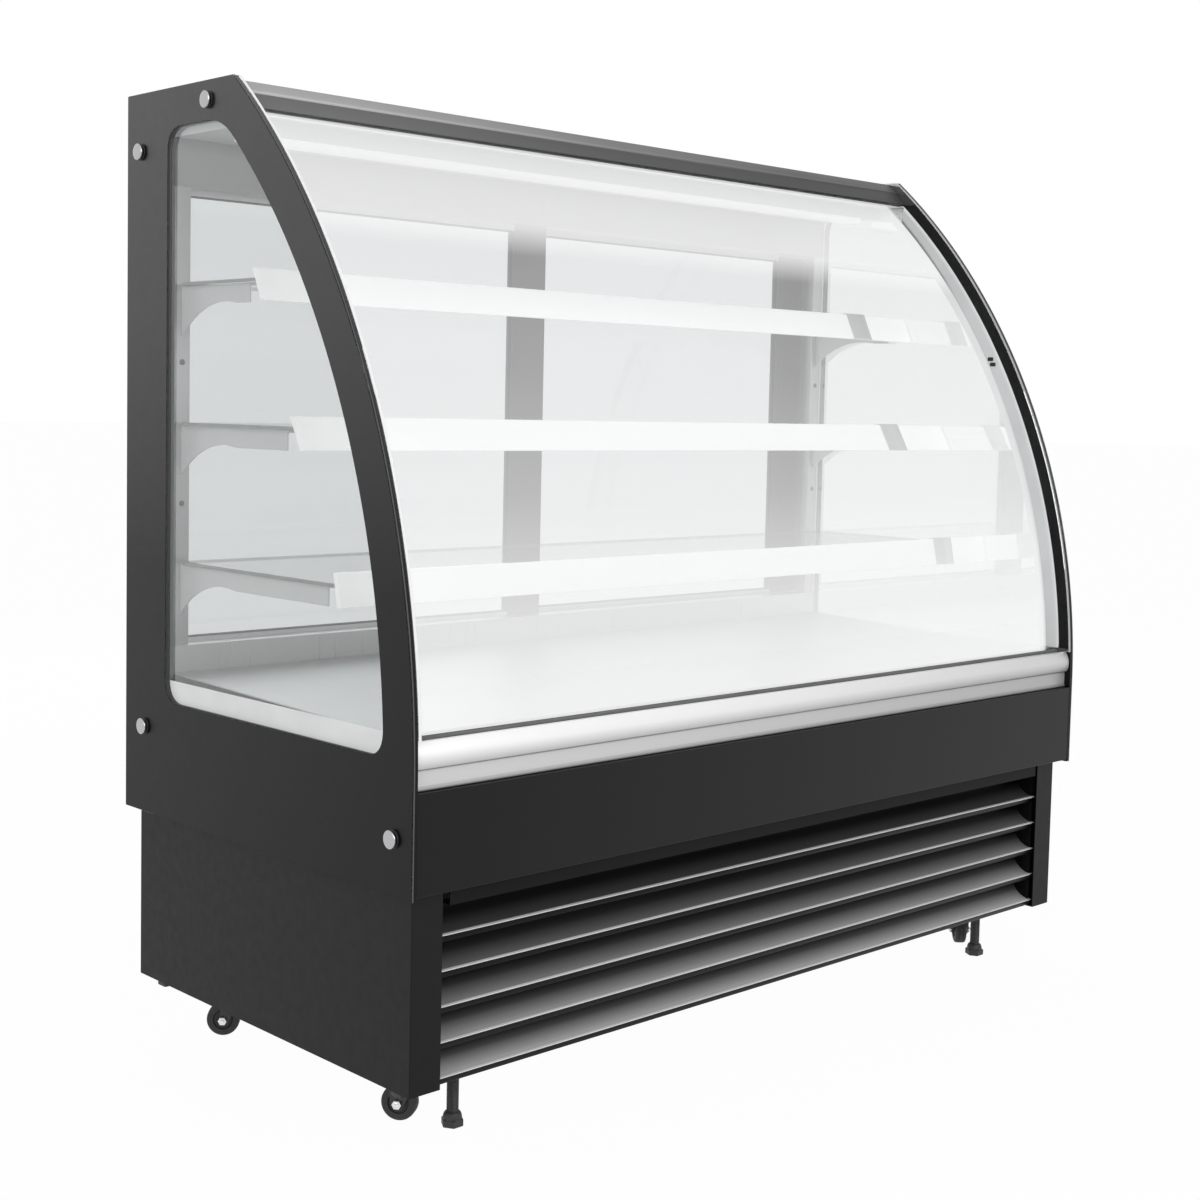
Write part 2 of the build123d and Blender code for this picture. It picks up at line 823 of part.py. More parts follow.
def fan_motor(centre, floor_z, radius):
    """Motor on its foot, with the shaft that carries the rotor."""
    x, y, z = centre
    face = y - fan_hub / 2 - motor_gap
    can = rod((x, face - motor_length, z), (x, face, z), radius)
    shaft = rod((x, face - 1, z), (x, y + fan_hub / 2 - 4, z), fan_shaft_r)
    foot = block(x - motor_foot, x + motor_foot, face - motor_length + 2, face - 4, floor_z, z)
    return can + shaft + foot


tub_floor_top = fascia_bottom + tub_floor
plinth_floor_top = plinth_bottom + plinth_sheet + gap + floor_sheet
evaporator_fan_centre = (0, back(coil_back) + coil_depth + fan_stand_off, tub_floor_top + gap + fan_blade_r + 6)
condenser_fan_centre = (condenser_x, back(condenser_back) + condenser_depth + fan_stand_off,
                        plinth_floor_top + gap + condenser_fan_r + 6)


def finned_coil(x0, y0, z0, length, depth, height, plates):
    """Thin plates round a core of tube, with the tube bends standing out at the ends."""
    core_y, core_z = depth * coil_core_share, height * coil_core_share
    middle_y, middle_z = y0 + depth / 2, z0 + height / 2
    coil = block(x0, x0 + length, middle_y - core_y / 2, middle_y + core_y / 2,
                 middle_z - core_z / 2, middle_z + core_z / 2)
    for index in range(plates):
        x = x0 + (length - plate_sheet) * index / (plates - 1)
        coil = coil + block(x, x + plate_sheet, y0, y0 + depth, z0, z0 + height)
    for lane in (-1, 1):
        y = middle_y + lane * core_y / 4
        coil = coil + rod((x0 - bend_length, y, middle_z), (x0 + length + bend_length, y, middle_z), tube_r)
    return coil


def evaporator():
    coil = finned_coil(-coil_length / 2, back(coil_back), tub_floor_top + gap, coil_length, coil_depth,
                       coil_height, coil_plate_count)
    return [coil, fan_motor(evaporator_fan_centre, tub_floor_top + gap, evaporator_motor_r)]


def evaporator_fan():
    return fan_rotor(evaporator_fan_centre, fan_blade_r, 5, fan_shaft_r + pin_clearance)


def condenser():
    z0 = plinth_floor_top + gap
    coil = finned_coil(condenser_x - condenser_length / 2, back(condenser_back), z0, condenser_length,
                       condenser_depth, condenser_height, condenser_plate_count)
    return [coil, fan_motor(condenser_fan_centre, z0, condenser_motor_r)]


def condenser_fan():
    return fan_rotor(condenser_fan_centre, condenser_fan_r, 5, fan_shaft_r + pin_clearance)


def compressor():
    """Domed can on a foot plate."""
    z0 = plinth_floor_top + gap
    shoulder, crown = compressor_r * 0.55, compressor_height
    outline = [(0, 0), (compressor_r, 0), (compressor_r, crown - shoulder), (compressor_r * 0.86, crown - shoulder / 3),
               (compressor_r * 0.5, crown), (0, crown)]
    can = revolve(Plane.XZ * polygon(outline), axis=Axis.Z)
    can = Pos(compressor_x, back(compressor_back), z0 + compressor_foot) * can
    plate = block(compressor_x - compressor_r * 1.15, compressor_x + compressor_r * 1.15,
                  back(compressor_back) - compressor_r, back(compressor_back) + compressor_r,
                  z0, z0 + compressor_foot)
    return can + plate


# Controls on the rear of the tub
rocker_pivot = (control_x, back(tub_rear_back) + gap + control_depth - 2, control_z)


def control_panel():
    """Shallow bezel with a pocket for the rocker switch."""
    y0 = back(tub_rear_back) + gap
    bezel = block(control_x - control_width / 2, control_x + control_width / 2, y0, y0 + control_depth,
                  control_z - control_height / 2, control_z + control_height / 2)
    bezel = fillet(bezel.edges().filter_by(Axis.Y), control_round)
    pocket = block(control_x - rocker_width / 2 - gap, control_x + rocker_width / 2 + gap, y0 + 1,
                   y0 + control_depth + 1, control_z - rocker_height / 2 - 1, control_z + rocker_height / 2 + 1)
    x, y, z = rocker_pivot
    reach = rocker_width / 2 + rocker_pin_length + gap
    return bezel - pocket - rod((x - reach, y, z), (x + reach, y, z), rocker_pin_r + pin_clearance)


def rocker_switch():
    """Rocker with two sloping faces that tips about its middle."""
    x, y, z = rocker_pivot
    top, rise, depth = rocker_height / 2, rocker_rise, rocker_depth
    outline = [(y - depth, z - top * 0.6), (y - rise, z - top), (y + rise, z - top + 1), (y, z),
               (y + rise, z + top - 1), (y - rise, z + top), (y - depth, z + top * 0.6)]
    rocker = along_x(polygon(outline), x - rocker_width / 2, x + rocker_width / 2)
    for side in (-1, 1):
        start = x + side * rocker_width / 2
        rocker = rocker + rod((start, y, z), (start + side * rocker_pin_length, y, z), rocker_pin_r)
    return rocker


# Castors and levelling feet
def turned(shape, x, y, angle):
    """A castor piece drawn at the origin, turned and set under the floor."""
    return Pos(x, y, 0) * Rot(Z=angle) * shape


castor_top = plinth_bottom + plinth_sheet
cheek_in = wheel_width / 2 + fork_gap
cheek_out = cheek_in + fork_sheet


def castor_fork(braked):
    """Swivel head and fork drawn with its wheel towards +X."""
    head = Pos(0, 0, castor_top - race_height) * Cylinder(
        swivel_r, race_height, align=(Align.CENTER, Align.CENTER, Align.MIN))
    neck = Pos(0, 0, fork_top) * Cylinder(
        neck_r, castor_top - fork_top, align=(Align.CENTER, Align.CENTER, Align.MIN))
    crown = block(-crown_back, crown_front, -cheek_out, cheek_out, fork_top - fork_sheet, fork_top)
    fork = head + neck + crown
    ear = pedal_pivot_x + ear_r if braked else crown_front
    outline = [(-crown_back, fork_top), (castor_trail - ear_r, wheel_r - ear_r), (castor_trail + ear_r, wheel_r - ear_r),
               (ear, fork_top - fork_sheet * 3), (ear, fork_top)]
    for side in (-1, 1):
        face = Plane.XZ.offset(-side * cheek_in) * polygon(outline)
        cheek = extrude(face, amount=-side * fork_sheet)
        fork = fork + cheek
        seat = Plane(origin=(castor_trail, side * cheek_in, wheel_r), z_dir=(0, side, 0))
        fork = fork + extrude(seat * RegularPolygon(nut_r, 6), amount=fork_sheet + nut_height)
    fork = fork + rod((castor_trail, -cheek_out, wheel_r), (castor_trail, cheek_out, wheel_r), axle_r)
    if braked:
        fork = fork + rod((pedal_pivot_x, -cheek_out, pedal_z), (pedal_pivot_x, cheek_out, pedal_z), pedal_pin_r)
    return fork


def castor_wheel():
    """Wheel turned about its axle, with a rounded tread."""
    edge, wide, bore = wheel_r, wheel_width / 2, axle_r + pin_clearance
    outline = [(bore, -wide), (edge - tread_round, -wide), (edge, tread_round - wide), (edge, wide - tread_round),
               (edge - tread_round, wide), (bore, wide)]
    wheel = revolve(Plane.XY * polygon(outline), axis=Axis.Y)
    return Pos(castor_trail, 0, wheel_r) * wheel


def brake_pedal():
    """Tread plate with the barrel it tips on."""
    x0 = pedal_pivot_x
    barrel = rod((x0, -cheek_in + gap, pedal_z), (x0, cheek_in - gap, pedal_z), pedal_barrel_r)
    arm = block(x0, x0 + ear_r + 2, -cheek_in + gap, cheek_in - gap, pedal_z, pedal_z + fork_sheet)
    tread = block(x0 + ear_r + 1, pedal_reach, -pedal_width / 2, pedal_width / 2, pedal_z, pedal_z + fork_sheet)
    pedal = barrel + arm + tread
    return pedal - rod((x0, -cheek_out, pedal_z), (x0, cheek_out, pedal_z), pedal_pin_r + pin_clearance)


def levelling_foot(side):
    x, y = side * foot_x, back(foot_front_inset)
    six = extrude(Pos(x, y, 0) * RegularPolygon(foot_hex_r, 6), amount=foot_hex_height)
    cone = Pos(x, y, foot_hex_height) * Cone(foot_hex_r * 0.8, foot_stem_r, foot_cone,
                                             align=(Align.CENTER, Align.CENTER, Align.MIN))
    stem = Pos(x, y, foot_hex_height) * Cylinder(foot_stem_r, foot_stem_top - foot_hex_height,
                                                 align=(Align.CENTER, Align.CENTER, Align.MIN))
    return six + cone + stem


# Write every piece under its own name
castors = {
    "front_left": (-castor_x, back(castor_front_inset), castor_angles[0], True),
    "front_right": (castor_x, back(castor_front_inset), castor_angles[1], True),
    "rear_left": (-castor_x, back(castor_rear_back), castor_angles[2], False),
    "rear_right": (castor_x, back(castor_rear_back), castor_angles[3], False),
}

pieces = {
    "plinth_floor": plinth_floor(),
    "plinth_side_left": plinth_side(),
    "plinth_side_right": mirrored(plinth_side()),
    "louvre_header": louvre_header(),
    "louvre": louvre(),
    "rear_grille": rear_grille(),
    "insulated_tub": insulated_tub(),
    "fascia_panel": fascia_panel(),
    "bumper_round": bumper_round(),
    "bumper_flat": bumper_flat(),
    "sill_gasket": sill_gasket(),
    "end_outer_pane_left": end_outer_pane(),
    "end_outer_pane_right": mirrored(end_outer_pane()),
    "end_border_boards": [end_border_board(), mirrored(end_border_board())],
    "end_inner_panes": [end_inner_pane(), mirrored(end_inner_pane())],
    "standoff_bolts": standoff_bolts(),
    "top_beam": top_beam(),
    "roof_panel": roof_panel(),
    "canopy_liner": canopy_liner(),
    "light_diffuser": light_diffuser(),
    "deck_pan": deck_pan(),
    "rear_sill": rear_sill(),
    "rear_header": rear_header(),
    "shelf_posts": shelf_posts(),
    "shelf_brackets": shelf_brackets(),
    "door_tracks": door_tracks(),
    "door_jambs": door_jambs(),
    "door_frame_left": door_frame(-1, 0),
    "door_frame_right": door_frame(1, 1),
    "door_stile_left": door_stile_piece(-1, 0),
    "door_stile_right": door_stile_piece(1, 1),
    "door_glass_left": door_glass(-1, 0),
    "door_glass_right": door_glass(1, 1),
    "evaporator_coil": evaporator(),
    "evaporator_fan": evaporator_fan(),
    "condenser_coil": condenser(),
    "condenser_fan": condenser_fan(),
    "compressor": compressor(),
    "control_panel": control_panel(),
    "rocker_switch": rocker_switch(),
    "front_glass": front_glass(),
    "glass_hinge": glass_hinge(),
    "levelling_foot_left": levelling_foot(-1),
    "levelling_foot_right": levelling_foot(1),
}
for level, name in enumerate(["lower", "middle", "upper"]):
    pieces["shelf_glass_" + name] = shelf_glass(level)
    pieces["light_strip_" + name] = light_strip(level)
for name, (x, y, angle, braked) in castors.items():
    pieces["castor_fork_" + name] = turned(castor_fork(braked), x, y, angle)
    pieces["castor_wheel_" + name] = turned(castor_wheel(), x, y, angle)
    if braked:
        pieces["brake_pedal_" + name] = turned(brake_pedal(), x, y, angle)

os.makedirs("parts", exist_ok=True)
for name, shape in pieces.items():
    solids = shape if isinstance(shape, list) else [shape]
    flat = [solid for item in solids for solid in item.solids()]
    whole = flat[0] if len(flat) == 1 else Compound(children=flat)
    export_step(whole, "parts/" + name + ".step")
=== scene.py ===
import math

import bmesh
import bpy
import numpy as np
from mathutils import Matrix, Vector


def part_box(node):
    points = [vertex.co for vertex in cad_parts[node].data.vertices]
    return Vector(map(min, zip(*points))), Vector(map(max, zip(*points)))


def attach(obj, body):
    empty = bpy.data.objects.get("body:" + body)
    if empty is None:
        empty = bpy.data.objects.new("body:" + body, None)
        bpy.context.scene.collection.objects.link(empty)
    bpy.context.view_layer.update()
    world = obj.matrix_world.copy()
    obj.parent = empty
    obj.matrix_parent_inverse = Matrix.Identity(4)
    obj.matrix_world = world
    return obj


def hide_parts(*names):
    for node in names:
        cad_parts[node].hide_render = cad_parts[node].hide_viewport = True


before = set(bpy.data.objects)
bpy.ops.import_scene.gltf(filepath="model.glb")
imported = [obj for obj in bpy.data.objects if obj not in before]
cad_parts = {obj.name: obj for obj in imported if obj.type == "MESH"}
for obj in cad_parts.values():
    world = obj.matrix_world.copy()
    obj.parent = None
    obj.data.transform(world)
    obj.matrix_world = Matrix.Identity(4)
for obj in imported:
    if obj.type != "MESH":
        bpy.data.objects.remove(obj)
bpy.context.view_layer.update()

# Camera: stands in front and to the left, a little under the middle of the case.
# Its place and turn were found by matching the end panels' outlines.
camera_place = (-2.1261, -2.1252, 0.9731)
camera_yaw, camera_pitch, camera_roll = math.radians(43.64), math.radians(-4.1), math.radians(1.26)
camera_lens = 54.56
camera_shift_down = -0.0524

ahead = Vector((math.sin(camera_yaw) * math.cos(camera_pitch),
                math.cos(camera_yaw) * math.cos(camera_pitch), math.sin(camera_pitch)))
level_right = Vector((math.cos(camera_yaw), -math.sin(camera_yaw), 0))
level_up = level_right.cross(ahead)
right = level_right * math.cos(camera_roll) + level_up * math.sin(camera_roll)
up = level_up * math.cos(camera_roll) - level_right * math.sin(camera_roll)
camera = bpy.data.objects.new("camera", bpy.data.cameras.new("camera"))
camera.data.lens = camera_lens
camera.data.sensor_width = 36
camera.data.shift_y = camera_shift_down
turn = Matrix((right, up, -ahead)).transposed().to_4x4()
camera.matrix_world = Matrix.Translation(camera_place) @ turn
bpy.context.scene.collection.objects.link(camera)
bpy.context.scene.camera = camera
bpy.context.scene.view_settings.view_transform = "Standard"

# Studio: a pale floor, a white surround and three soft lamps.
# The surround is plain white to the eye and in reflections, and dimmer as a light.
floor_half = 60.0
floor_colour = (0.88, 0.88, 0.88, 1)
floor_glow = 0.97
surround_light = 0.62


def combined(tree, kind, first, second):
    """One arithmetic step on two signals, or on a signal and a number."""
    node = tree.nodes.new("ShaderNodeMath")
    node.operation = kind
    for value, socket in ((first, node.inputs[0]), (second, node.inputs[1])):
        if isinstance(value, (int, float)):
            socket.default_value = value
        else:
            tree.links.new(value, socket)
    return node.outputs[0]


def light_paths(tree):
    """Largest of the camera, glossy and transmission ray flags."""
    paths = tree.nodes.new("ShaderNodeLightPath").outputs
    seen = combined(tree, "MAXIMUM", paths["Is Camera Ray"], paths["Is Glossy Ray"])
    return combined(tree, "MAXIMUM", seen, paths["Is Transmission Ray"])


def mixed(tree, share, first, second):
    """Two shaders blended by a share."""
    node = tree.nodes.new("ShaderNodeMixShader")
    for source, socket in zip((share, first, second), node.inputs):
        tree.links.new(source, socket)
    return node.outputs[0]


world = bpy.data.worlds.new("surround")
bpy.context.scene.world = world
world.use_nodes = True
tree = world.node_tree
tree.nodes.clear()
seen = tree.nodes.new("ShaderNodeBackground")
seen.inputs["Strength"].default_value = 1.0
lit = tree.nodes.new("ShaderNodeBackground")
lit.inputs["Strength"].default_value = surround_light
for background in (seen, lit):
    background.inputs["Color"].default_value = (1, 1, 1, 1)
out = tree.nodes.new("ShaderNodeOutputWorld")
tree.links.new(mixed(tree, light_paths(tree), lit.outputs[0], seen.outputs[0]), out.inputs["Surface"])

floor_mesh = bpy.data.meshes.new("floor")
corners = [(-floor_half, -floor_half, 0), (floor_half, -floor_half, 0),
           (floor_half, floor_half, 0), (-floor_half, floor_half, 0)]
floor_mesh.from_pydata(corners, [], [(0, 1, 2, 3)])
floor = bpy.data.objects.new("floor", floor_mesh)
bpy.context.scene.collection.objects.link(floor)
floor_paint = bpy.data.materials.new("floor_paint")
floor_paint.use_nodes = True
tree = floor_paint.node_tree
tree.nodes.clear()
matt = tree.nodes.new("ShaderNodeBsdfDiffuse")
matt.inputs["Color"].default_value = floor_colour
glow = tree.nodes.new("ShaderNodeEmission")
out = tree.nodes.new("ShaderNodeOutputMaterial")
share = combined(tree, "MULTIPLY", light_paths(tree), floor_glow)
tree.links.new(mixed(tree, share, matt.outputs[0], glow.outputs[0]), out.inputs["Surface"])
floor_mesh.materials.append(floor_paint)


def soft_lamp(name, place, aim, size, power):
    """A square area lamp pointed at a spot."""
    lamp = bpy.data.objects.new(name, bpy.data.lights.new(name, "AREA"))
    lamp.data.size = size
    lamp.data.energy = power
    toward = Vector(aim) - Vector(place)
    lamp.matrix_world = Matrix.Translation(place) @ toward.to_track_quat("-Z", "Y").to_matrix().to_4x4()
    bpy.context.scene.collection.objects.link(lamp)


soft_lamp("lamp_front", (-0.6, -4.0, 2.6), (0, 0, 0.8), 2.6, 60)
soft_lamp("lamp_left", (-4.2, -0.8, 2.4), (0, 0, 0.8), 2.4, 40)
soft_lamp("lamp_rear", (1.6, 4.0, 2.8), (0, 0, 0.8), 2.6, 40)


# Plinth floor: a pressed galvanised pan that carries the machinery and the castors.
# Zinc sheet has a broken, cloudy spangle. Its upturned edges are eased where they were folded.
def new_paint(name, colour, roughness, metallic=0.0, specular=0.5, tones=None, rough=None, relief=None):
    """A material with one Principled shader; returns it with its tree and shader.

    The patterns are tones (scale, dark, light), rough (scale, low, high) and
    relief (scale, detail, strength, depth)."""
    paint = bpy.data.materials.new(name)
    paint.use_nodes = True
    tree = paint.node_tree
    shader = tree.nodes["Principled BSDF"]
    shader.inputs["Base Color"].default_value = (*colour, 1)
    shader.inputs["Roughness"].default_value = roughness
    shader.inputs["Metallic"].default_value = metallic
    shader.inputs["Specular IOR Level"].default_value = specular
    if tones:
        colour_by(tree, shader, grain(tree, tones[0]), *tones[1:])
    if rough:
        rough_by(tree, shader, grain(tree, rough[0]), *rough[1:])
    if relief:
        bumped(tree, shader, grain(tree, *relief[:2]), *relief[2:])
    return paint, tree, shader


def finish(*values, **patterns):
    """A material made whole by new_paint."""
    return new_paint(*values, **patterns)[0]


def grain(tree, scale, detail=4.0, roughness=0.55):
    """Noise on Object coordinates, stretched by one scale or by one for each axis."""
    place = tree.nodes.new("ShaderNodeTexCoord")
    stretch = tree.nodes.new("ShaderNodeMapping")
    stretch.inputs["Scale"].default_value = (scale,) * 3 if isinstance(scale, (int, float)) else scale
    noise = tree.nodes.new("ShaderNodeTexNoise")
    noise.inputs["Scale"].default_value = 1.0
    noise.inputs["Detail"].default_value = detail
    noise.inputs["Roughness"].default_value = roughness
    tree.links.new(place.outputs["Object"], stretch.inputs["Vector"])
    tree.links.new(stretch.outputs["Vector"], noise.inputs["Vector"])
    return noise.outputs["Fac"]


def along(tree, axis, low, high):
    """Nought to one as Object coordinate axis runs from low to high."""
    place = tree.nodes.new("ShaderNodeTexCoord")
    split = tree.nodes.new("ShaderNodeSeparateXYZ")
    level = tree.nodes.new("ShaderNodeMapRange")
    level.inputs["From Min"].default_value = low
    level.inputs["From Max"].default_value = high
    tree.links.new(place.outputs["Object"], split.inputs[0])
    tree.links.new(split.outputs[axis], level.inputs["Value"])
    return level.outputs[0]


def ramp(tree, source, stops):
    """A colour ramp through (position, value or colour) stops."""
    node = tree.nodes.new("ShaderNodeValToRGB")
    elements = node.color_ramp.elements
    while len(elements) < len(stops):
        elements.new(0.5)
    for element, (position, value) in zip(elements, stops):
        element.position = position
        element.color = (*value, 1) if isinstance(value, tuple) else (value, value, value, 1)
    tree.links.new(source, node.inputs["Fac"])
    return node.outputs["Color"]


def rough_by(tree, shader, source, low, high):
    """Roughness that follows a pattern between two values."""
    tree.links.new(ramp(tree, source, [(0.25, low), (0.75, high)]), shader.inputs["Roughness"])


def colour_by(tree, shader, source, dark, light):
    """Colour that follows a pattern between two colours."""
    tree.links.new(ramp(tree, source, [(0.3, dark), (0.7, light)]), shader.inputs["Base Color"])


def bumped(tree, shader, source, strength, depth):
    """Fine relief from a pattern."""
    node = tree.nodes.new("ShaderNodeBump")
    node.inputs["Strength"].default_value = strength
    node.inputs["Distance"].default_value = depth
    tree.links.new(source, node.inputs["Height"])
    tree.links.new(node.outputs["Normal"], shader.inputs["Normal"])


def coat(node, paint, eased=0.0):
    """Give a CAD piece its finish, and ease its edges by a small bevel."""
    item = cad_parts[node]
    item.data.materials.clear()
    item.data.materials.append(paint)
    if eased:
        bevel = item.modifiers.new("eased", "BEVEL")
        bevel.width = eased
        bevel.segments = 2
        bevel.limit_method = "ANGLE"
        bevel.angle_limit = math.radians(40)
        bevel.harden_normals = True


galvanised, tree, shader = new_paint("galvanised", (0.55, 0.56, 0.57), 0.42, 0.9, rough=(40, 0.3, 0.55))
colour_by(tree, shader, grain(tree, 55, 1.0), (0.42, 0.43, 0.44), (0.62, 0.63, 0.64))
coat("plinth_floor", galvanised)


# Castors: a moulded tyre on a hub, in a pressed fork under a swivel race, with a bright axle nut.
# The tyre is turned, with two grooves and a stepped hub; pressings are black zinc.
def box_of(node):
    """Low and high corner of a CAD piece."""
    return [np.array(corner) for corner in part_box(node)]


def full_turn(count):
    """Angles spread evenly round a circle."""
    return np.linspace(0, 2 * np.pi, count, endpoint=False)


def across_axis(axis):
    """Two unit directions square to an axis and to each other."""
    helper = np.array([0.0, 0, 1]) if abs(axis[2]) < 0.9 else np.array([1.0, 0, 0])
    first = np.cross(helper, axis)
    first /= np.linalg.norm(first)
    return first, np.cross(axis, first)


def lattice(name, points, body, paint, replaced=(), ring=False, crease=35):
    """Closed piece from points[row, column]: rows run along it and columns run round it.

    Quad (i, j) joins points (i, j), (i, j+1), (i+1, j+1), (i+1, j), with j taken round the loop.
    A ring also joins its last row to its first; otherwise each end row is one flat face."""
    points = np.asarray(points, float)
    rows, columns = points.shape[:2]
    steps = rows if ring else rows - 1
    i, j = np.meshgrid(np.arange(steps), np.arange(columns), indexing="ij")
    after_i, after_j = (i + 1) % rows, (j + 1) % columns
    quads = np.stack([i * columns + j, i * columns + after_j,
                      after_i * columns + after_j, after_i * columns + j], axis=-1).reshape(-1, 4)
    faces = quads.tolist()
    if not ring:
        last = (rows - 1) * columns
        faces += [list(range(columns))[::-1], list(range(last, last + columns))]
    mesh = bpy.data.meshes.new(name)
    mesh.from_pydata(points.reshape(-1, 3).tolist(), [], faces)
    shape = bmesh.new()
    shape.from_mesh(mesh)
    if shape.calc_volume(signed=True) < 0:
        bmesh.ops.reverse_faces(shape, faces=shape.faces)
    shape.to_mesh(mesh)
    shape.free()
    mesh.shade_smooth()
    mesh.set_sharp_from_angle(angle=math.radians(crease))
    mesh.materials.append(paint)
    piece = bpy.data.objects.new(name, mesh)
    bpy.context.scene.collection.objects.link(piece)
    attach(piece, body)
    if replaced:
        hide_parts(*replaced)
    return piece


def turned(name, outline, centre, axis, body, paint, replaced=(), columns=64, sides=0, crease=35):
    """Outline of (along, radius) pairs in mm turned about an axis: centre + a axis + r (u cos t + v sin t).

    With sides, the radius is that of a polygon: r cos(pi/n) / cos(t mod (2 pi/n) - pi/n)."""
    axis = np.asarray(axis, float) / np.linalg.norm(axis)
    u, v = across_axis(axis)
    angle = full_turn(columns)
    flat = np.ones(columns)
    if sides:
        flat = np.cos(np.pi / sides) / np.cos(angle % (2 * np.pi / sides) - np.pi / sides)
    lengths, radii = np.asarray(outline, float).T / 1000
    spoke = (np.cos(angle) * flat)[:, None] * u + (np.sin(angle) * flat)[:, None] * v
    points = np.asarray(centre, float) + lengths[:, None, None] * axis + radii[:, None, None] * spoke
    return lattice(name, points, body, paint, replaced, crease=crease)


dark_zinc = finish("dark_zinc", (0.045, 0.046, 0.05), 0.42, 0.6, rough=(130, 0.3, 0.52),
                   relief=(500, 3, 0.2, 0.0003))
bright_zinc = finish("bright_zinc", (0.75, 0.76, 0.78), 0.25, 1.0, rough=(300, 0.16, 0.34))
tyre_rubber = finish("tyre_rubber", (0.016, 0.016, 0.017), 0.6,
                     tones=(90, (0.012, 0.012, 0.013), (0.024, 0.024, 0.025)), relief=(800, 2, 0.25, 0.0003))
tyre_outline = [(-8.5, 5.5), (-8.5, 8.5), (-7.5, 9.5), (-7.5, 13.5), (-9.8, 15), (-10, 19), (-9.8, 21.5),
                (-8.8, 23.6), (-6.6, 24.8), (-4.5, 25), (-4, 24.3), (-3, 24.3), (-2.5, 25), (2.5, 25),
                (3, 24.3), (4, 24.3), (4.5, 25), (6.6, 24.8), (8.8, 23.6), (9.8, 21.5), (10, 19),
                (9.8, 15), (7.5, 13.5), (7.5, 9.5), (8.5, 8.5), (8.5, 5.5)]
nut_outline = [(0, 0.1), (0, 6.2), (0.8, 6.8), (3.4, 6.8), (4.4, 6), (4.4, 3.6), (6.2, 3.6), (6.8, 3),
               (6.8, 0.1)]
castor_leans = {"front_left": 125, "front_right": 46, "rear_left": 140, "rear_right": 60}
for end, lean in castor_leans.items():
    coat("castor_fork_" + end, dark_zinc, 0.0004)
    low, high = box_of("castor_wheel_" + end)
    hub = (low + high) / 2
    across = np.array([-math.sin(math.radians(lean)), math.cos(math.radians(lean)), 0])
    turned("tyre_" + end, tyre_outline, hub, across, "wheel_" + end, tyre_rubber,
           ["castor_wheel_" + end])
    for side, word in ((-1, "inner"), (1, "outer")):
        turned("axle_nut_" + end + "_" + word, nut_outline, hub + side * across * 0.0140, side * across,
               "castor_" + end, bright_zinc, sides=6, crease=25)
    if end.startswith("front"):
        coat("brake_pedal_" + end, dark_zinc, 0.0004)

# Levelling feet: a moulded hexagon base with a black threaded stem screwed into the floor.
# The thread is a real helix. A soft pad rounds off where the base meets the ground.
moulded_black = finish("moulded_black", (0.02, 0.02, 0.022), 0.5, rough=(240, 0.4, 0.6),
                       relief=(700, 2, 0.18, 0.0003))


def threaded_foot(name, x, y, body):
    """Foot whose radius runs from a hexagon to a helix: r(t, z) = h(z) hex(t) + (1 - h(z)) (s + d w).

    w = |((z / pitch - t / 2 pi) mod 1) - 1/2| is the thread and h fades from one to nought up the cone."""
    pitch, stem, depth, top = 0.0025, 0.0077, 0.0016, 0.104
    angle = full_turn(48)
    level = np.r_[0, 0.0006, 0.0018, 0.0098, 0.0108, np.linspace(0.0112, 0.021, 10),
                  np.linspace(0.0212, top - 0.0004, 200), top]
    dome = 0.0082 + 0.0050 * np.sqrt(np.clip(1 - ((level - 0.0112) / 0.0098) ** 2, 0, 1))
    base = np.interp(level, [0, 0.0006, 0.0018, 0.0098, 0.0108], [0.0122, 0.0137, 0.0149, 0.0149, 0.0140])
    reach = np.where(level < 0.011, base, dome)
    hexagon = np.cos(np.pi / 6) / np.cos(angle % (np.pi / 3) - np.pi / 6)
    wave = np.abs((level[:, None] / pitch - angle / (2 * np.pi)) % 1 - 0.5)
    radius = np.where(level[:, None] < 0.011, reach[:, None] * hexagon / np.cos(np.pi / 6) * 0.93,
                      np.where(level[:, None] < 0.0211, reach[:, None], stem + depth * (0.5 - wave)))
    points = np.stack([x + radius * np.cos(angle), y + radius * np.sin(angle),
                       np.broadcast_to(level[:, None], radius.shape)], axis=-1)
    return lattice(name, points, body, moulded_black, ["levelling_" + body], crease=30)


both_sides = ((-1, "left"), (1, "right"))
for side, word in both_sides:
    threaded_foot("levelling_stem_" + word, side * 0.605, -0.266, "foot_" + word)

# Plinth sides: folded sheet steel in black powder coat, with folds eased to a small radius.
# The coat has a fine orange-peel skin and a soft sheen; its grey pales a little towards the top in painted
# light.
def shaded_black_coat(name, shade, roughness, low, high):
    """Powder coat whose grey runs between two shades up the piece: painted light, darker low down and paler
    higher up.
    """
    paint, tree, shader = new_paint(name, (shade[0], shade[0], shade[0] * 1.03), roughness, 0.0, 0.2)
    cloud = combined(tree, "MULTIPLY", grain(tree, 5), 0.25)
    level = combined(tree, "ADD", along(tree, "Z", low, high), cloud)
    tree.links.new(ramp(tree, level, [(0.12, (shade[0], shade[0], shade[0] * 1.03)),
                                      (1.0, (shade[1], shade[1], shade[1] * 1.03))]),
                   shader.inputs["Base Color"])
    rough_by(tree, shader, grain(tree, 60), roughness - 0.06, roughness + 0.06)
    bumped(tree, shader, grain(tree, 900, 2), 0.10, 0.0003)
    return paint


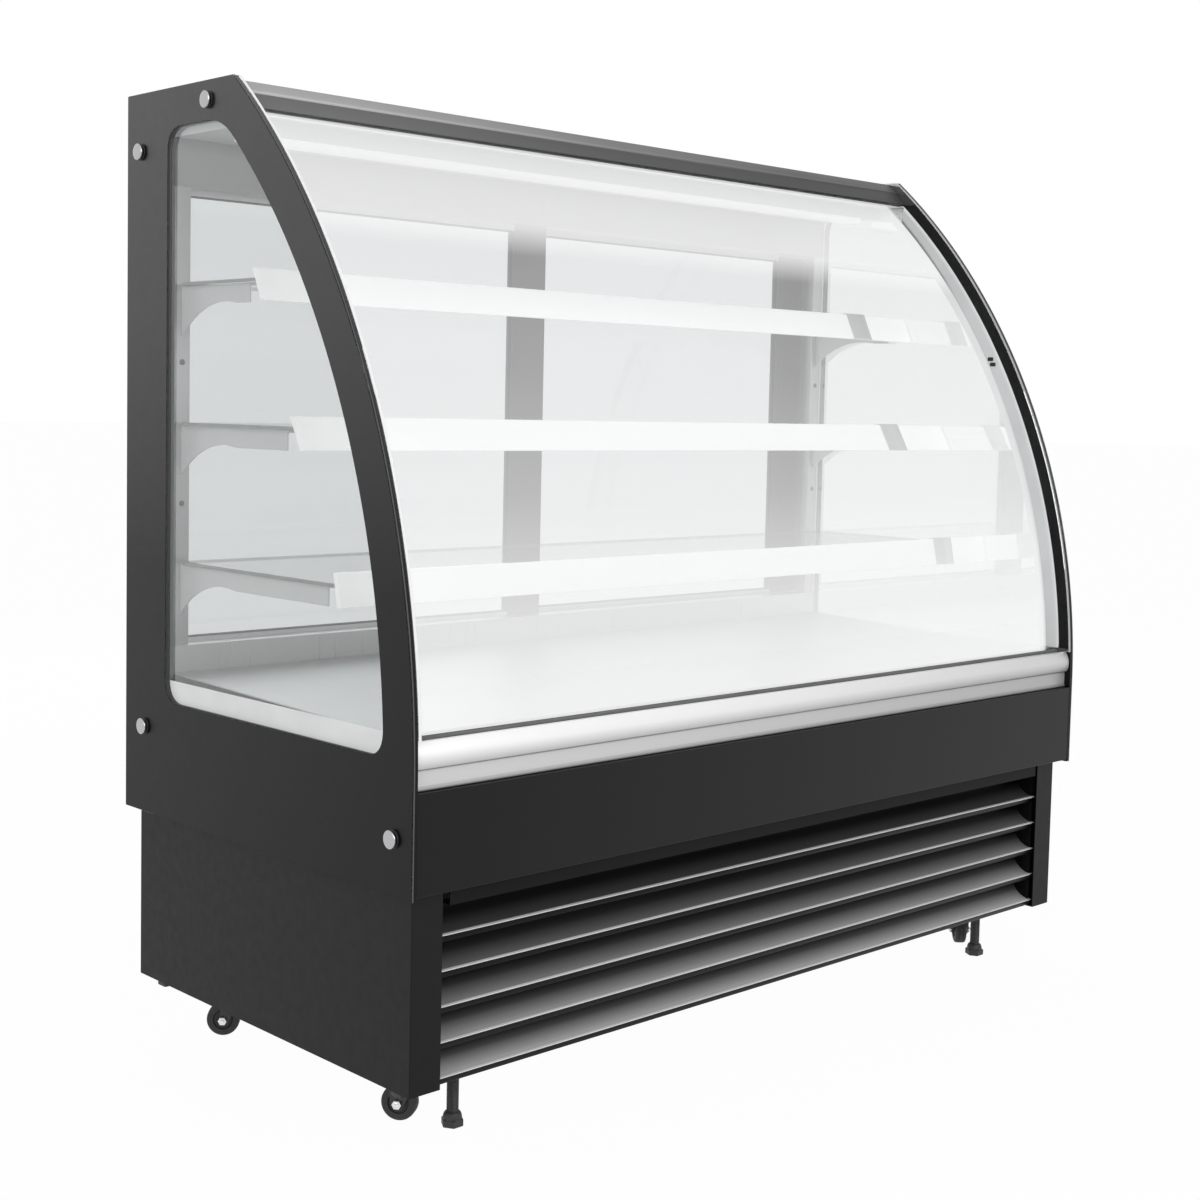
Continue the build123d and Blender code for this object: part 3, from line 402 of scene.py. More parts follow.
def softened(corners, reach, steps=4):
    """Outline with each corner P drawn as (1-t)^2 A + 2t(1-t) P + t^2 B, where A and B lie reach away."""
    corner = np.asarray(corners, float)
    curve = np.linspace(0, 1, steps + 1)[:, None, None]
    ends = []
    for shift in (1, -1):
        side = np.roll(corner, shift, axis=0) - corner
        length = np.linalg.norm(side, axis=1, keepdims=True)
        ends.append(corner + side * np.minimum(reach / length, 0.48))
    path = (1 - curve) ** 2 * ends[0] + 2 * curve * (1 - curve) * corner + curve ** 2 * ends[1]
    return path.transpose(1, 0, 2).reshape(-1, 2)


def bar(name, section, axis, start, end, body, paint, replaced=(), eased=0.0006, crease=35):
    """Section carried along an axis; near each end its half sizes h shrink to h - e by a quarter round.

    The section's two coordinates are the two other axes, in X, Y, Z order."""
    section = np.asarray(section, float)
    middle = (section.min(axis=0) + section.max(axis=0)) / 2
    half = (section.max(axis=0) - section.min(axis=0)) / 2
    turn = np.linspace(0, np.pi / 2, 4)
    shrink = np.r_[eased * (1 - np.sin(turn)), eased * (1 - np.sin(turn[::-1]))]
    place = np.r_[start + eased * (1 - np.cos(turn)), end - eased * (1 - np.cos(turn[::-1]))]
    scale = 1 - shrink[:, None] / half
    flat = middle + (section - middle) * scale[:, None, :]
    points = np.zeros((len(place), len(section), 3))
    others = [index for index in range(3) if index != axis]
    points[..., others] = flat
    points[..., axis] = place[:, None]
    return lattice(name, points, body, paint, replaced, crease=crease)


def box_outline(low, high, reach, steps=4):
    """A rectangle with softened corners."""
    return softened([low, (high[0], low[1]), high, (low[0], high[1])], reach, steps)


def standing(x, outline):
    """A (Y, Z) outline stood up at one X."""
    return np.column_stack([np.full(len(outline), x), outline])


plinth_coat = shaded_black_coat("plinth_coat", (0.0042, 0.006), 0.46, 0.09, 0.35)
shadow_coat = finish("shadow_coat", (0.006, 0.006, 0.006), 0.5, 0.0, 0.12, relief=(700, 2, 0.08, 0.0003))
for word in ("left", "right"):
    coat("plinth_side_" + word, plinth_coat, 0.0006)
for side, word in both_sides:
    for place, spot in ((-0.304, "front"), (0.283, "rear")):
        middle, half = np.array([side * 0.722, place]), np.array([0.008, 0.011])
        section = box_outline(middle - half, middle + half, 0.003)
        bar("plinth_tab_" + spot + "_" + word, section, 2, 0.0815, 0.0878, "cabinet", moulded_black)

# Louvre: a channel above five trough-shaped blades with a turned-down hem along each lip.
# The blades are folded sheet in the same coat, smoother inside, with painted shade under each blade above,
# painted light growing towards the lower blades and a painted highlight along each lip.
louvre_coat, tree, shader = new_paint("louvre_coat", (0.02, 0.02, 0.021), 0.32, 0.0, 0.15)
blade_pitch = 0.0472
# Painted light and shade: each blade darkens under the blade above and brightens towards its lip, lower
# blades are painted lighter, and a bright line is painted along each lip.
climb = combined(tree, "FRACT", combined(tree, "DIVIDE", along(tree, "Z", 0.0909, 1.0909), blade_pitch), 0.0)
painted_blade_shading = ramp(tree, climb, [(0.0, 0.014), (0.165, 0.012), (0.178, 0.52), (0.20, 0.56), (0.24, 0.42),
                          (0.34, 0.25), (0.48, 0.09), (0.66, 0.016), (0.88, 0.004), (1.0, 0.004)])
painted_light_low_down = ramp(tree, along(tree, "Z", 0.095, 0.331),
                  [(0.0, 1.0), (0.2, 0.80), (0.4, 0.52), (0.6, 0.30), (0.8, 0.13), (1.0, 0.08)])
painted_lip_highlight = ramp(tree, climb, [(0.155, 0.0), (0.163, 0.80), (0.187, 0.80), (0.194, 0.0)])
tree.links.new(combined(tree, "MAXIMUM", combined(tree, "MULTIPLY", painted_blade_shading, painted_light_low_down), painted_lip_highlight),
               shader.inputs["Base Color"])
rough_by(tree, shader, grain(tree, (4, 90, 90)), 0.28, 0.40)
bumped(tree, shader, grain(tree, 700, 2), 0.08, 0.0003)
coat("louvre_header", shadow_coat, 0.0005)
blade_count, blade_reach, blade_sheet, blade_lip_y, top_lip_z = 5, 0.040, 0.002, -0.326, 0.2883
bend = np.radians(np.linspace(0, 80, 25))
for row in range(blade_count):
    lip_z = top_lip_z - blade_pitch * row
    inner, outer = (np.stack([blade_lip_y + reach * np.sin(bend),
                              lip_z + blade_reach - reach * np.cos(bend)], axis=-1)
                    for reach in (blade_reach, blade_reach + blade_sheet))
    outer = outer[::-1][:-1]
    fold = np.array([(blade_lip_y + 0.0020, lip_z - 0.0079), (blade_lip_y + 0.0014, lip_z - 0.0085),
                     (blade_lip_y + 0.0006, lip_z - 0.0085), (blade_lip_y, lip_z - 0.0079),
                     (blade_lip_y, lip_z - 0.0008), (blade_lip_y + 0.0003, lip_z - 0.0002)])
    section = np.concatenate([inner[1:], outer[:-1], fold])
    bar("louvre_blade_" + str(row + 1), section, 0, -0.6900, 0.6900, "cabinet", louvre_coat,
        ["louvre"], eased=0.0001, crease=50)
for side, word in both_sides:
    section = box_outline((-0.3218, 0.0945), (-0.2775, 0.3290), 0.002)
    bar("louvre_carrier_" + word, section, 0, side * 0.687 - 0.001, side * 0.687 + 0.001, "cabinet",
        shadow_coat, ["louvre"], eased=0.0003)
    for row in range(blade_count):
        turned("louvre_rivet_" + word + "_" + str(row + 1),
               [(0, 0.5), (0, 4), (0.6, 3.6), (1.4, 2.2), (1.7, 0.4)],
               (side * 0.6881, -0.300, 0.2955 - blade_pitch * row), (side, 0, 0), "cabinet", bright_zinc,
               columns=24)

# Rear service panel: perforated with two fields of air slots and held by six pan-head screws.
# The screws are bright zinc with a cross recess.
coat("rear_grille", plinth_coat, 0.0004)


def screw(name, centre, axis, radius, body):
    """Pan-head screw with a cross recess: depth = d exp(-(min(|a|, |b|) / w)^4) inside the cross arms."""
    rings, columns = 26, 96
    axis = np.asarray(axis, float)
    u, v = across_axis(axis)
    angle = full_turn(columns)
    spoke = np.cos(angle)[:, None] * u + np.sin(angle)[:, None] * v
    share = np.sqrt(np.linspace(1, 0.0004, rings))
    reach = radius * share
    across, up = reach[:, None] * np.cos(angle), reach[:, None] * np.sin(angle)
    arm = np.minimum(np.abs(across), np.abs(up)) / (radius * 0.16)
    fade = 1 / (1 + np.exp((reach / radius - 0.55) * 30))[:, None]
    dome = 0.55 * np.sqrt(1 - 0.92 * share ** 2)[:, None]
    height = radius * (dome - 0.34 * np.exp(-arm ** 4) * fade)
    points = np.asarray(centre, float) + reach[:, None, None] * spoke + height[..., None] * axis
    foot = np.asarray(centre, float) + radius * spoke
    return lattice(name, np.concatenate([foot[None], points]), body, bright_zinc, crease=50)


rear_face, screw_radius = 0.342, 0.0042
for row, level in (("low", 0.105), ("high", 0.334)):
    for column, place in (("left", -0.66), ("middle", 0.0), ("right", 0.66)):
        screw("grille_screw_" + row + "_" + column, (place, rear_face + 0.0001, level), (0, 1, 0),
              screw_radius, "cabinet")

# Condensing unit: aluminium fins on copper tube, a black fan, and an enamelled compressor.
# Two copper lines join the compressor to the coil.
fin_metal = finish("fin_metal", (0.78, 0.79, 0.8), 0.35, 0.9, rough=((30, 300, 300), 0.28, 0.45))
copper = finish("copper", (0.72, 0.35, 0.20), 0.3, 1.0, tones=(40, (0.55, 0.26, 0.15), (0.78, 0.40, 0.24)))
enamel = finish("enamel", (0.012, 0.012, 0.013), 0.22, relief=(90, 2, 0.06, 0.0006))
coat("condenser_coil", fin_metal)
coat("compressor", enamel, 0.0015)
coat("condenser_fan", moulded_black, 0.0005)


def pipe(name, stops, radius, body, paint, columns=16):
    """Round tube along cubic Hermite curves through the stops, p = h00 a + h10 m + h01 b + h11 n."""
    stop = np.asarray(stops, float)
    slope = np.gradient(stop, axis=0)
    part, share = np.divmod(np.linspace(0, len(stop) - 1.000001, 24 * (len(stop) - 1)), 1)
    part, t = part.astype(int), share[:, None]
    path = ((2 * t ** 3 - 3 * t ** 2 + 1) * stop[part] + (t ** 3 - 2 * t ** 2 + t) * slope[part]
            + (3 * t ** 2 - 2 * t ** 3) * stop[part + 1] + (t ** 3 - t ** 2) * slope[part + 1])
    ahead_of = np.gradient(path, axis=0)
    ahead_of /= np.linalg.norm(ahead_of, axis=1, keepdims=True)
    side = np.cross(ahead_of, (0.31, 0.17, 0.93))
    side /= np.linalg.norm(side, axis=1, keepdims=True)
    over = np.cross(ahead_of, side)
    angle = full_turn(columns)[None, :, None]
    points = path[:, None] + radius * (np.cos(angle) * side[:, None] + np.sin(angle) * over[:, None])
    return lattice(name, points, body, paint)


coil_low = box_of("condenser_coil")[0]
can_low, can_high = box_of("compressor")
can_mid = (can_low + can_high) / 2
for word, lift, forward in (("discharge", 0.060, -0.020), ("liquid", 0.105, 0.020)):
    start = (can_high[0] - 0.016, can_mid[1] + forward, 0.11 + lift)
    pipe("copper_line_" + word, [start, (0.0, can_mid[1] + forward - 0.03, 0.11 + lift),
                                 (0.06, -0.15, 0.13 + lift), (coil_low[0] + 0.004, -0.18, 0.12 + lift)],
         0.0048, "cabinet", copper)

# Insulated tub: a foamed box with a black skin, its front hidden by a folded fascia.
# The fascia is powder coated flat sheet; painted light pales it slightly towards the right end.
tub_skin = finish("tub_skin", (0.02, 0.02, 0.021), 0.45, relief=(500, 2, 0.12, 0.0003))
coat("insulated_tub", tub_skin, 0.0008)
fascia_coat, tree, shader = new_paint("fascia_coat", (0.02, 0.02, 0.021), 0.36, 0.0, 0.2)
# Painted light: darker at the left end and paler towards the right, with a little random cloud.
painted_fascia_light_and_cloud = combined(tree, "ADD", along(tree, "X", -0.75, 0.75),
                        combined(tree, "MULTIPLY", grain(tree, 3), 0.2))
tree.links.new(ramp(tree, painted_fascia_light_and_cloud, [(0.1, (0.0045, 0.0045, 0.0047)), (1.0, (0.011, 0.011, 0.0115))]),
               shader.inputs["Base Color"])
bumped(tree, shader, grain(tree, 900, 2), 0.08, 0.0003)
coat("fascia_panel", fascia_coat, 0.0006)

# Bumper: two satin white extrusions along the foot of the glass, one round and one flat.
# A fine seam parts them, and the flat one ends in a rolled edge over the fascia. Painted shade darkens that
# edge, the seam and the right end; painted light pales the round top.
bumper_skin, tree, shader = new_paint("bumper_skin", (0.78, 0.78, 0.785), 0.34, 0.25)
# Painted light: shade along the foot and in the seam, a paler round top, and shade towards the right end.
level = along(tree, "Z", 0.4863, 0.5500)
painted_bumper_light = ramp(tree, level, [(0.0, 0.20), (0.06, 0.42), (0.12, 0.64), (0.40, 0.62), (0.432, 0.34),
                             (0.448, 0.34), (0.47, 0.56), (0.60, 0.74), (0.74, 0.90)])
painted_shade_rightward = ramp(tree, along(tree, "X", -0.75, 0.75), [(0.0, 1.0), (0.35, 0.93), (1.0, 0.70)])
tree.links.new(combined(tree, "MULTIPLY", painted_bumper_light, painted_shade_rightward), shader.inputs["Base Color"])
rough_by(tree, shader, grain(tree, (3, 500, 500)), 0.28, 0.40)
bumped(tree, shader, grain(tree, (2, 700, 700), 3), 0.05, 0.0002)
bumper_half = 0.7416
bulge = np.linspace(0, 1, 29)
bulge_y = -0.3491 * (1 - bulge) ** 2 + 2 * bulge * (1 - bulge) * -0.3580 + bulge ** 2 * -0.3452
bulge_z = 0.5149 * (1 - bulge) + 0.5500 * bulge
section = np.concatenate([np.stack([bulge_y, bulge_z], axis=-1), [(-0.3436, 0.55015), (-0.3326, 0.5484),
                                                                  (-0.3324, 0.5480), (-0.3324, 0.5149)]])
bar("bumper_round_skin", section, 0, -bumper_half, bumper_half, "cabinet", bumper_skin,
    ["bumper_round"], eased=0.0007, crease=50)
section = [(-0.3445, 0.5134), (-0.3324, 0.5134), (-0.3324, 0.4864), (-0.3450, 0.4864), (-0.3458, 0.4872),
           (-0.3458, 0.4896), (-0.3445, 0.4908)]
bar("bumper_flat_skin", softened(section, 0.0007), 0, -bumper_half, bumper_half, "cabinet", bumper_skin,
    ["bumper_flat"], eased=0.0007, crease=50)
gasket_rubber = finish("gasket_rubber", (0.14, 0.14, 0.14), 0.6,
                       tones=((20, 300, 300), (0.11, 0.11, 0.11), (0.16, 0.16, 0.16)))
section = [(-0.3318, 0.5483), (-0.3238, 0.5483), (-0.3238, 0.5530), (-0.3262, 0.55365), (-0.3278, 0.5528),
           (-0.3296, 0.55365), (-0.3318, 0.5530)]
bar("gasket_lip", softened(section, 0.0008), 0, -0.7356, 0.7356, "cabinet", gasket_rubber,
    ["sill_gasket"], eased=0.0004)


# End panels: clear outer pane with polished edges, black border board, and clear inner pane.
# The window has rounded corners. Inside, behind the front glass, the border is faced light grey.
def sheet_glass(name, tint, bend=1.45, painted_reflection=None, edge=None, across="X", cloud=1.0, shine=1.0, blur=0.02):
    """Clear sheet with a Fresnel gloss on its near face; the (height, share) stops give a painted reflection
    that fades out near X 0.70.

    With an edge colour, faces turned away from the axis across the sheet take it as a satin finish."""
    paint = bpy.data.materials.new(name)
    paint.use_nodes = True
    tree = paint.node_tree
    tree.nodes.clear()
    through = tree.nodes.new("ShaderNodeBsdfTransparent")
    through.inputs["Color"].default_value = (*tint, 1)
    gloss = tree.nodes.new("ShaderNodeBsdfGlossy")
    gloss.inputs["Roughness"].default_value = blur
    gloss.inputs["Color"].default_value = (shine, shine, shine, 1)
    fresnel = tree.nodes.new("ShaderNodeFresnel")
    fresnel.inputs["IOR"].default_value = bend
    faces = tree.nodes.new("ShaderNodeNewGeometry")
    front = combined(tree, "SUBTRACT", 1.0, faces.outputs["Backfacing"])
    factor = combined(tree, "MULTIPLY", fresnel.outputs[0], front)
    if painted_reflection:
        # Painted reflection: the gloss share is set by height from the stops and faded out near the right
        # end.
        bottom, top = painted_reflection[0][0], painted_reflection[-1][0]
        stops = [((height - bottom) / (top - bottom), amount) for height, amount in painted_reflection]
        fade = ramp(tree, along(tree, "X", 0.690, 0.704), [(0.0, 1.0), (1.0, 0.0)])
        sheen = combined(tree, "MULTIPLY", ramp(tree, along(tree, "Z", bottom, top), stops), fade)
        factor = combined(tree, "MAXIMUM", factor, combined(tree, "MULTIPLY", sheen, front))
    result = mixed(tree, factor, through.outputs[0], gloss.outputs[0])
    if edge:
        satin = tree.nodes.new("ShaderNodeBsdfPrincipled")
        colour_by(tree, satin, grain(tree, 60), tuple(cloud * value for value in edge), edge)
        satin.inputs["Roughness"].default_value = 0.25
        turned_to = tree.nodes.new("ShaderNodeSeparateXYZ")
        tree.links.new(faces.outputs["True Normal"], turned_to.inputs[0])
        facing = combined(tree, "ABSOLUTE", turned_to.outputs[across], 0.0)
        result = mixed(tree, combined(tree, "LESS_THAN", facing, 0.5), result, satin.outputs[0])
    tree.links.new(result, tree.nodes.new("ShaderNodeOutputMaterial").inputs["Surface"])
    return paint


curve_reach, curve_y, curve_z = 1.205, 0.849, 0.500


def curve_place(inset, level):
    """Y of the front curve moved in by inset: y = c - sqrt(R^2 - (z - z0)^2) above z0, straight below."""
    reach = curve_reach - inset
    rise = np.clip(np.asarray(level, float) - curve_z, 0, None)
    return curve_y - np.sqrt(reach ** 2 - rise ** 2)


def front_line(inset, level):
    """The front curve moved in by inset, as (Y, Z)."""
    return np.stack([curve_place(inset, level), level], axis=-1)


def panel_outline(inset, bottom, top, rear):
    """The end panel's outline as (Y, Z), from the foot of its front edge round to the foot of its rear."""
    level = np.r_[bottom + inset, np.linspace(max(curve_z, bottom + inset + 0.001), top - inset, 72)]
    front_edge = front_line(inset, level)
    return np.concatenate([front_edge, [(rear - inset, top - inset), (rear - inset, bottom + inset)]])


def by_angle(outline, middle, angle):
    """Points where rays from the middle meet a closed convex outline: r = cross(p, d) / cross(s, d)."""
    start = outline - middle
    side = np.roll(outline, -1, axis=0) - outline
    ray = np.stack([np.cos(angle), np.sin(angle)], axis=-1)[:, None]
    cross_side = side[None, :, 0] * ray[..., 1] - side[None, :, 1] * ray[..., 0]
    share = -(start[None, :, 0] * ray[..., 1] - start[None, :, 1] * ray[..., 0]) / cross_side
    hit = start[None] + share[..., None] * side[None]
    reach = (hit * ray).sum(axis=-1)
    inside = (share >= -1e-7) & (share <= 1 + 1e-7) & (reach > 0)
    best = np.where(inside, reach, np.inf).min(axis=1)
    return middle + best[:, None] * ray[:, 0]


def pane(name, side, near, far, bottom, paint, replaced):
    """A whole end pane between two distances from the middle, its rim ground to a fine chamfer."""
    rows = []
    for inset, out_by in ((0.0007, near), (0.0, near + 0.0007), (0.0, far - 0.0007), (0.0007, far)):
        outline = panel_outline(inset, bottom, 1.418, 0.356)
        rows.append(standing(side * out_by, outline))
    return lattice(name, rows, "cabinet", paint, replaced, crease=20)


window_centre = np.array([0.06, 0.90])
window_level = np.linspace(0.524, 1.361, 60)
window_path = np.concatenate([front_line(0.0625, window_level), [(0.241, 1.361), (0.241, 0.524)]])


def window_outline(inset, angle):
    """The window's outline at each angle; within corner_reach it is (1-t)^2 A + 2t(1-t) P + t^2 B."""
    steps, corner_reach = 1440, 0.034
    dense = full_turn(steps)
    sharp = by_angle(window_path, window_centre, dense)
    corner = np.array([window_path[0], window_path[59], window_path[60], window_path[61]])
    result = sharp.copy()
    for index in range(4):
        away = np.linalg.norm(sharp - corner[index], axis=1)
        near_it = np.flatnonzero(away < corner_reach)
        order = near_it[np.argsort((near_it - near_it[0] + steps // 2) % steps)]
        first, last, tip = sharp[order[0]], sharp[order[-1]], corner[index]
        t = np.linspace(0, 1, len(order))[:, None]
        pull = 0.86 * tip + 0.07 * (first + last)
        result[order] = (1 - t) ** 2 * first + 2 * t * (1 - t) * pull + t ** 2 * last
    grown = window_centre + (result - window_centre) * (1 + inset / 0.3)
    return by_angle(grown, window_centre, angle)


end_glass = sheet_glass("end_glass", (0.955, 0.96, 0.958), 1.28, edge=(0.06, 0.062, 0.061))
# Painted light: both inner panes are one glass in two copies; the right one has a far stronger painted
# reflection (IOR 4.6 against 2.3) and a darker edge than the left.
inner_glass = {"left": sheet_glass("inner_glass", (0.955, 0.96, 0.96), 2.3, edge=(0.86, 0.87, 0.865)),
               "right": sheet_glass("inner_glass_painted_right", (0.955, 0.96, 0.96), 4.6, edge=(0.40, 0.405, 0.40))}
border_black, tree, shader = new_paint("border_black", (0.004, 0.004, 0.0042), 0.3)
# Painted sheen: the border's gloss grows from low down towards the top.
painted_sheen_up = ramp(tree, along(tree, "Z", 0.35, 1.418), [(0.0, 0.16), (0.35, 0.22), (0.7, 0.62), (1.0, 0.80)])
tree.links.new(painted_sheen_up, shader.inputs["Specular IOR Level"])
rough_by(tree, shader, grain(tree, 70), 0.25, 0.36)
border_facing, tree, shader = new_paint("border_facing", (0.48, 0.485, 0.488), 0.35,
                                        tones=(12, (0.43, 0.435, 0.44), (0.52, 0.525, 0.53)))
# Painted light: the grey facing glows a little, though it is no lamp.
shader.inputs["Emission Color"].default_value = (1, 1, 1, 1)
shader.inputs["Emission Strength"].default_value = 0.30
facing_at = {"left": (0.74205, 0.74195), "right": (0.73604, 0.73590)}
margin_black = finish("margin_black", (0.010, 0.010, 0.0103), 0.35, 0.0, 0.15,
                      tones=(9, (0.007, 0.007, 0.0072), (0.014, 0.014, 0.0144)))
ring_angle = full_turn(480)
corner_points = np.array([(-0.356, 0.35), (0.356, 0.35), (0.356, 1.418), (curve_place(0, 1.418), 1.418)])
corner_angle = np.arctan2(corner_points[:, 1] - window_centre[1], corner_points[:, 0] - window_centre[0])
ring_angle = np.sort(np.r_[ring_angle, corner_angle % (2 * np.pi)])
for side, word in both_sides:
    pane("end_pane_outer_" + word, side, 0.7461, 0.7500, 0.350, end_glass,
         ["end_outer_pane_" + word])
    pane("end_pane_inner_" + word, side, 0.7361, 0.7419, 0.5503, inner_glass[word],
         ["end_inner_panes"])
    rows = []
    for inset, out_by in ((0.0008, 0.7423), (0.0005, 0.7421), (0.0005, 0.7459)):
        outer = by_angle(panel_outline(inset, 0.350, 1.418, 0.356), window_centre, ring_angle)
        rows.append(standing(side * out_by, outer))
    for window_inset, out_by in ((0.0004, 0.7459), (0.0, 0.7457), (0.0, 0.7423), (0.0004, 0.7421)):
        inner = window_outline(window_inset, ring_angle)
        rows.append(standing(side * out_by, inner))
    lattice("end_border_" + word, rows, "cabinet", border_black, ["end_border_boards"],
            ring=True, crease=30)
    level = np.r_[0.556, np.linspace(0.557, 1.372, 60)]
    outline = np.concatenate([front_line(0.0212, level), [(0.352, 1.372), (0.352, 0.556)]])
    facing_edge = by_angle(outline, window_centre, ring_angle)
    window_edge = window_outline(0.0008, ring_angle)
    film_edge = by_angle(panel_outline(0.0006, 0.350, 1.418, 0.356), window_centre, ring_angle)
    opening_edge = window_outline(0.0004, ring_angle)
    for piece, paint, far_loop, near_loop, far, near in (
            ("border_facing_", border_facing, facing_edge, window_edge, *facing_at[word]),
            ("border_print_", border_black, film_edge, opening_edge, 0.75030, 0.75008)):
        pairs = ((far_loop, far), (far_loop, near), (near_loop, near), (near_loop, far))
        rows = [standing(side * out_by, loop) for loop, out_by in pairs]
        lattice(piece + word, rows, "cabinet", paint, ring=True, crease=30)
    level = np.linspace(0.556, 1.372, 90)
    outline = np.concatenate([front_line(0.0010, level), front_line(0.0208, level)[::-1]])
    rows = [standing(side * out_by, outline) for out_by in (0.73604, 0.73590)]
    lattice("front_margin_" + word, rows, "cabinet", margin_black, crease=30)

# Stand-off bolts: turned chrome caps with a bright neck over a black washer, four on each end.
# The caps are domed a little and their rims are bevelled.
chrome = finish("chrome", (0.46, 0.46, 0.47), 0.14, 1.0, rough=(400, 0.10, 0.20))
washer_rubber = finish("washer_rubber", (0.014, 0.014, 0.014), 0.55, relief=(600, 2, 0.2, 0.0003))
cap_outline = [(1.8, 0.1), (1.8, 7.4), (2.4, 8), (3.2, 8), (3.6, 8.4), (3.6, 11.2), (4, 11.8),
               (4.6, 12.2), (6, 12.2), (6.7, 11.9), (7.2, 11.2), (7.5, 9.8), (7.8, 7), (7.9, 4), (8, 0.2)]
washer_outline = [(0.1, 5.2), (0.1, 11.8), (0.4, 12.4), (1.2, 12.4), (1.7, 11.8), (1.7, 5.2)]
bolts = [(0.1325, 1.390, "crown"), (0.3173, 1.333, "rear"), (0.301, 0.480, "tub"), (-0.3163, 0.424, "nose")]
for side, word in both_sides:
    for place, level, spot in bolts:
        foot = (side * 0.75, place, level)
        turned("bolt_cap_" + spot + "_" + word, cap_outline, foot, (side, 0, 0), "cabinet", chrome,
               ["standoff_bolts"], crease=28)
        turned("bolt_washer_" + spot + "_" + word, washer_outline, foot, (side, 0, 0), "cabinet",
               washer_rubber, crease=40)

# Top beam: a black extrusion with two facets, a seam between them and a lip over the glass.
# The upper facet is satin and paler in painted light, with a painted highlight along the seam; the lower one
# is a darker black, and painted shade dims the beam towards its right end. A foamed roof closes the top.
beam_coat, tree, shader = new_paint("beam_coat", (0.02, 0.02, 0.021), 0.4)
facet = along(tree, "Z", 1.374, 1.415)
# Painted light: a paler upper facet, a bright line painted along the seam, and shade towards the right end.
painted_facet_light = ramp(tree, facet, [(0.0, 0.030), (0.52, 0.024), (0.56, 0.12), (0.62, 0.12), (0.66, 0.085),
                                (0.9, 0.075)])
painted_beam_shade = ramp(tree, along(tree, "X", -0.74, 0.74), [(0.0, 1.0), (0.15, 0.86), (0.5, 0.36), (0.8, 0.12),
                                                      (1.0, 0.08)])
tree.links.new(combined(tree, "MULTIPLY", combined(tree, "MULTIPLY", painted_facet_light, painted_beam_shade), 4.4),
               shader.inputs["Base Color"])
rough_by(tree, shader, grain(tree, (3, 500, 500)), 0.34, 0.48)
bumped(tree, shader, grain(tree, (2, 600, 600), 3), 0.06, 0.0002)
beam_front = {level: float(curve_place(0.013, level)) for level in (1.415, 1.398)}
lip_place = float(curve_place(0.020, 1.374))
section = [(beam_front[1.415], 1.415), (beam_front[1.398], 1.398), (beam_front[1.398] + 0.0006, 1.3968),
           (lip_place, 1.3752), (lip_place + 0.0008, 1.374), (lip_place + 0.010, 1.374),
           (beam_front[1.415], 1.389)]
inner_half = 0.7357
bar("beam_extrusion", softened(section, 0.0006), 0, -inner_half, inner_half, "cabinet", beam_coat,
    ["top_beam"], eased=0.0004, crease=20)
# The roof coat's grey is painted paler towards its top: painted light.
roof_coat = shaded_black_coat("roof_coat", (0.03, 0.04), 0.42, 1.40, 1.42)
coat("roof_panel", roof_coat, 0.0006)
for column, place in (("left", -0.70), ("middle", 0.0), ("right", 0.70)):
    screw("roof_screw_" + column, (place, 0.325, 1.4151), (0, 0, 1), screw_radius, "cabinet")

# Canopy: a smooth white liner with a shallow valance that hides the long lit diffuser.
# The liner is satin; the diffuser is opal plastic with fine ribs along it.
white_liner = finish("white_liner", (0.80, 0.81, 0.82), 0.35,
                     tones=((2, 9, 9), (0.76, 0.77, 0.78), (0.84, 0.85, 0.86)), rough=(30, 0.3, 0.42))
coat("canopy_liner", white_liner, 0.0008)


def lit_plastic(name, strength):
    """Opal plastic that glows a little, with fine ribs along the case."""
    paint, tree, shader = new_paint(name, (0.90, 0.90, 0.90), 0.32)
    colour_by(tree, shader, grain(tree, (1, 40, 40)), (0.87, 0.87, 0.87), (0.93, 0.93, 0.93))
    shader.inputs["Emission Color"].default_value = (1, 1, 1, 1)
    shader.inputs["Emission Strength"].default_value = strength
    bumped(tree, shader, grain(tree, (1, 900, 900), 2), 0.08, 0.0002)
    return paint


diffuser_plastic = lit_plastic("diffuser_plastic", 0.35)
coat("light_diffuser", diffuser_plastic, 0.0006)

# Evaporator and deck: fins and a fan in the tub, under a sloping deck of brushed stainless steel.
# The deck's brushing runs along the case, and painted shade darkens its tone towards the doors.
coat("evaporator_coil", fin_metal)
coat("evaporator_fan", moulded_black, 0.0004)


def brushed_steel(name, shade, direction, roughness=0.3):
    """Stainless sheet brushed along an axis: fine streaks and a slow cloud in tone."""
    paint, tree, shader = new_paint(name, shade, roughness, 0.85)
    fine = [420, 420, 420]
    fine[direction] = 3
    streak = grain(tree, tuple(fine))
    rough_by(tree, shader, streak, roughness - 0.04, roughness + 0.06)
    cloud = combined(tree, "ADD", combined(tree, "MULTIPLY", streak, 0.25),
                     combined(tree, "MULTIPLY", grain(tree, 6), 0.75))
    dark, light = (tuple(share * value for value in shade) for share in (0.94, 1.05))
    colour_by(tree, shader, cloud, dark, light)
    bumped(tree, shader, streak, 0.015, 0.0001)
    return paint


deck_steel, tree, shader = new_paint("deck_steel", (0.6, 0.605, 0.61), 0.45, 0.6,
                                     rough=((3, 420, 420), 0.42, 0.54))
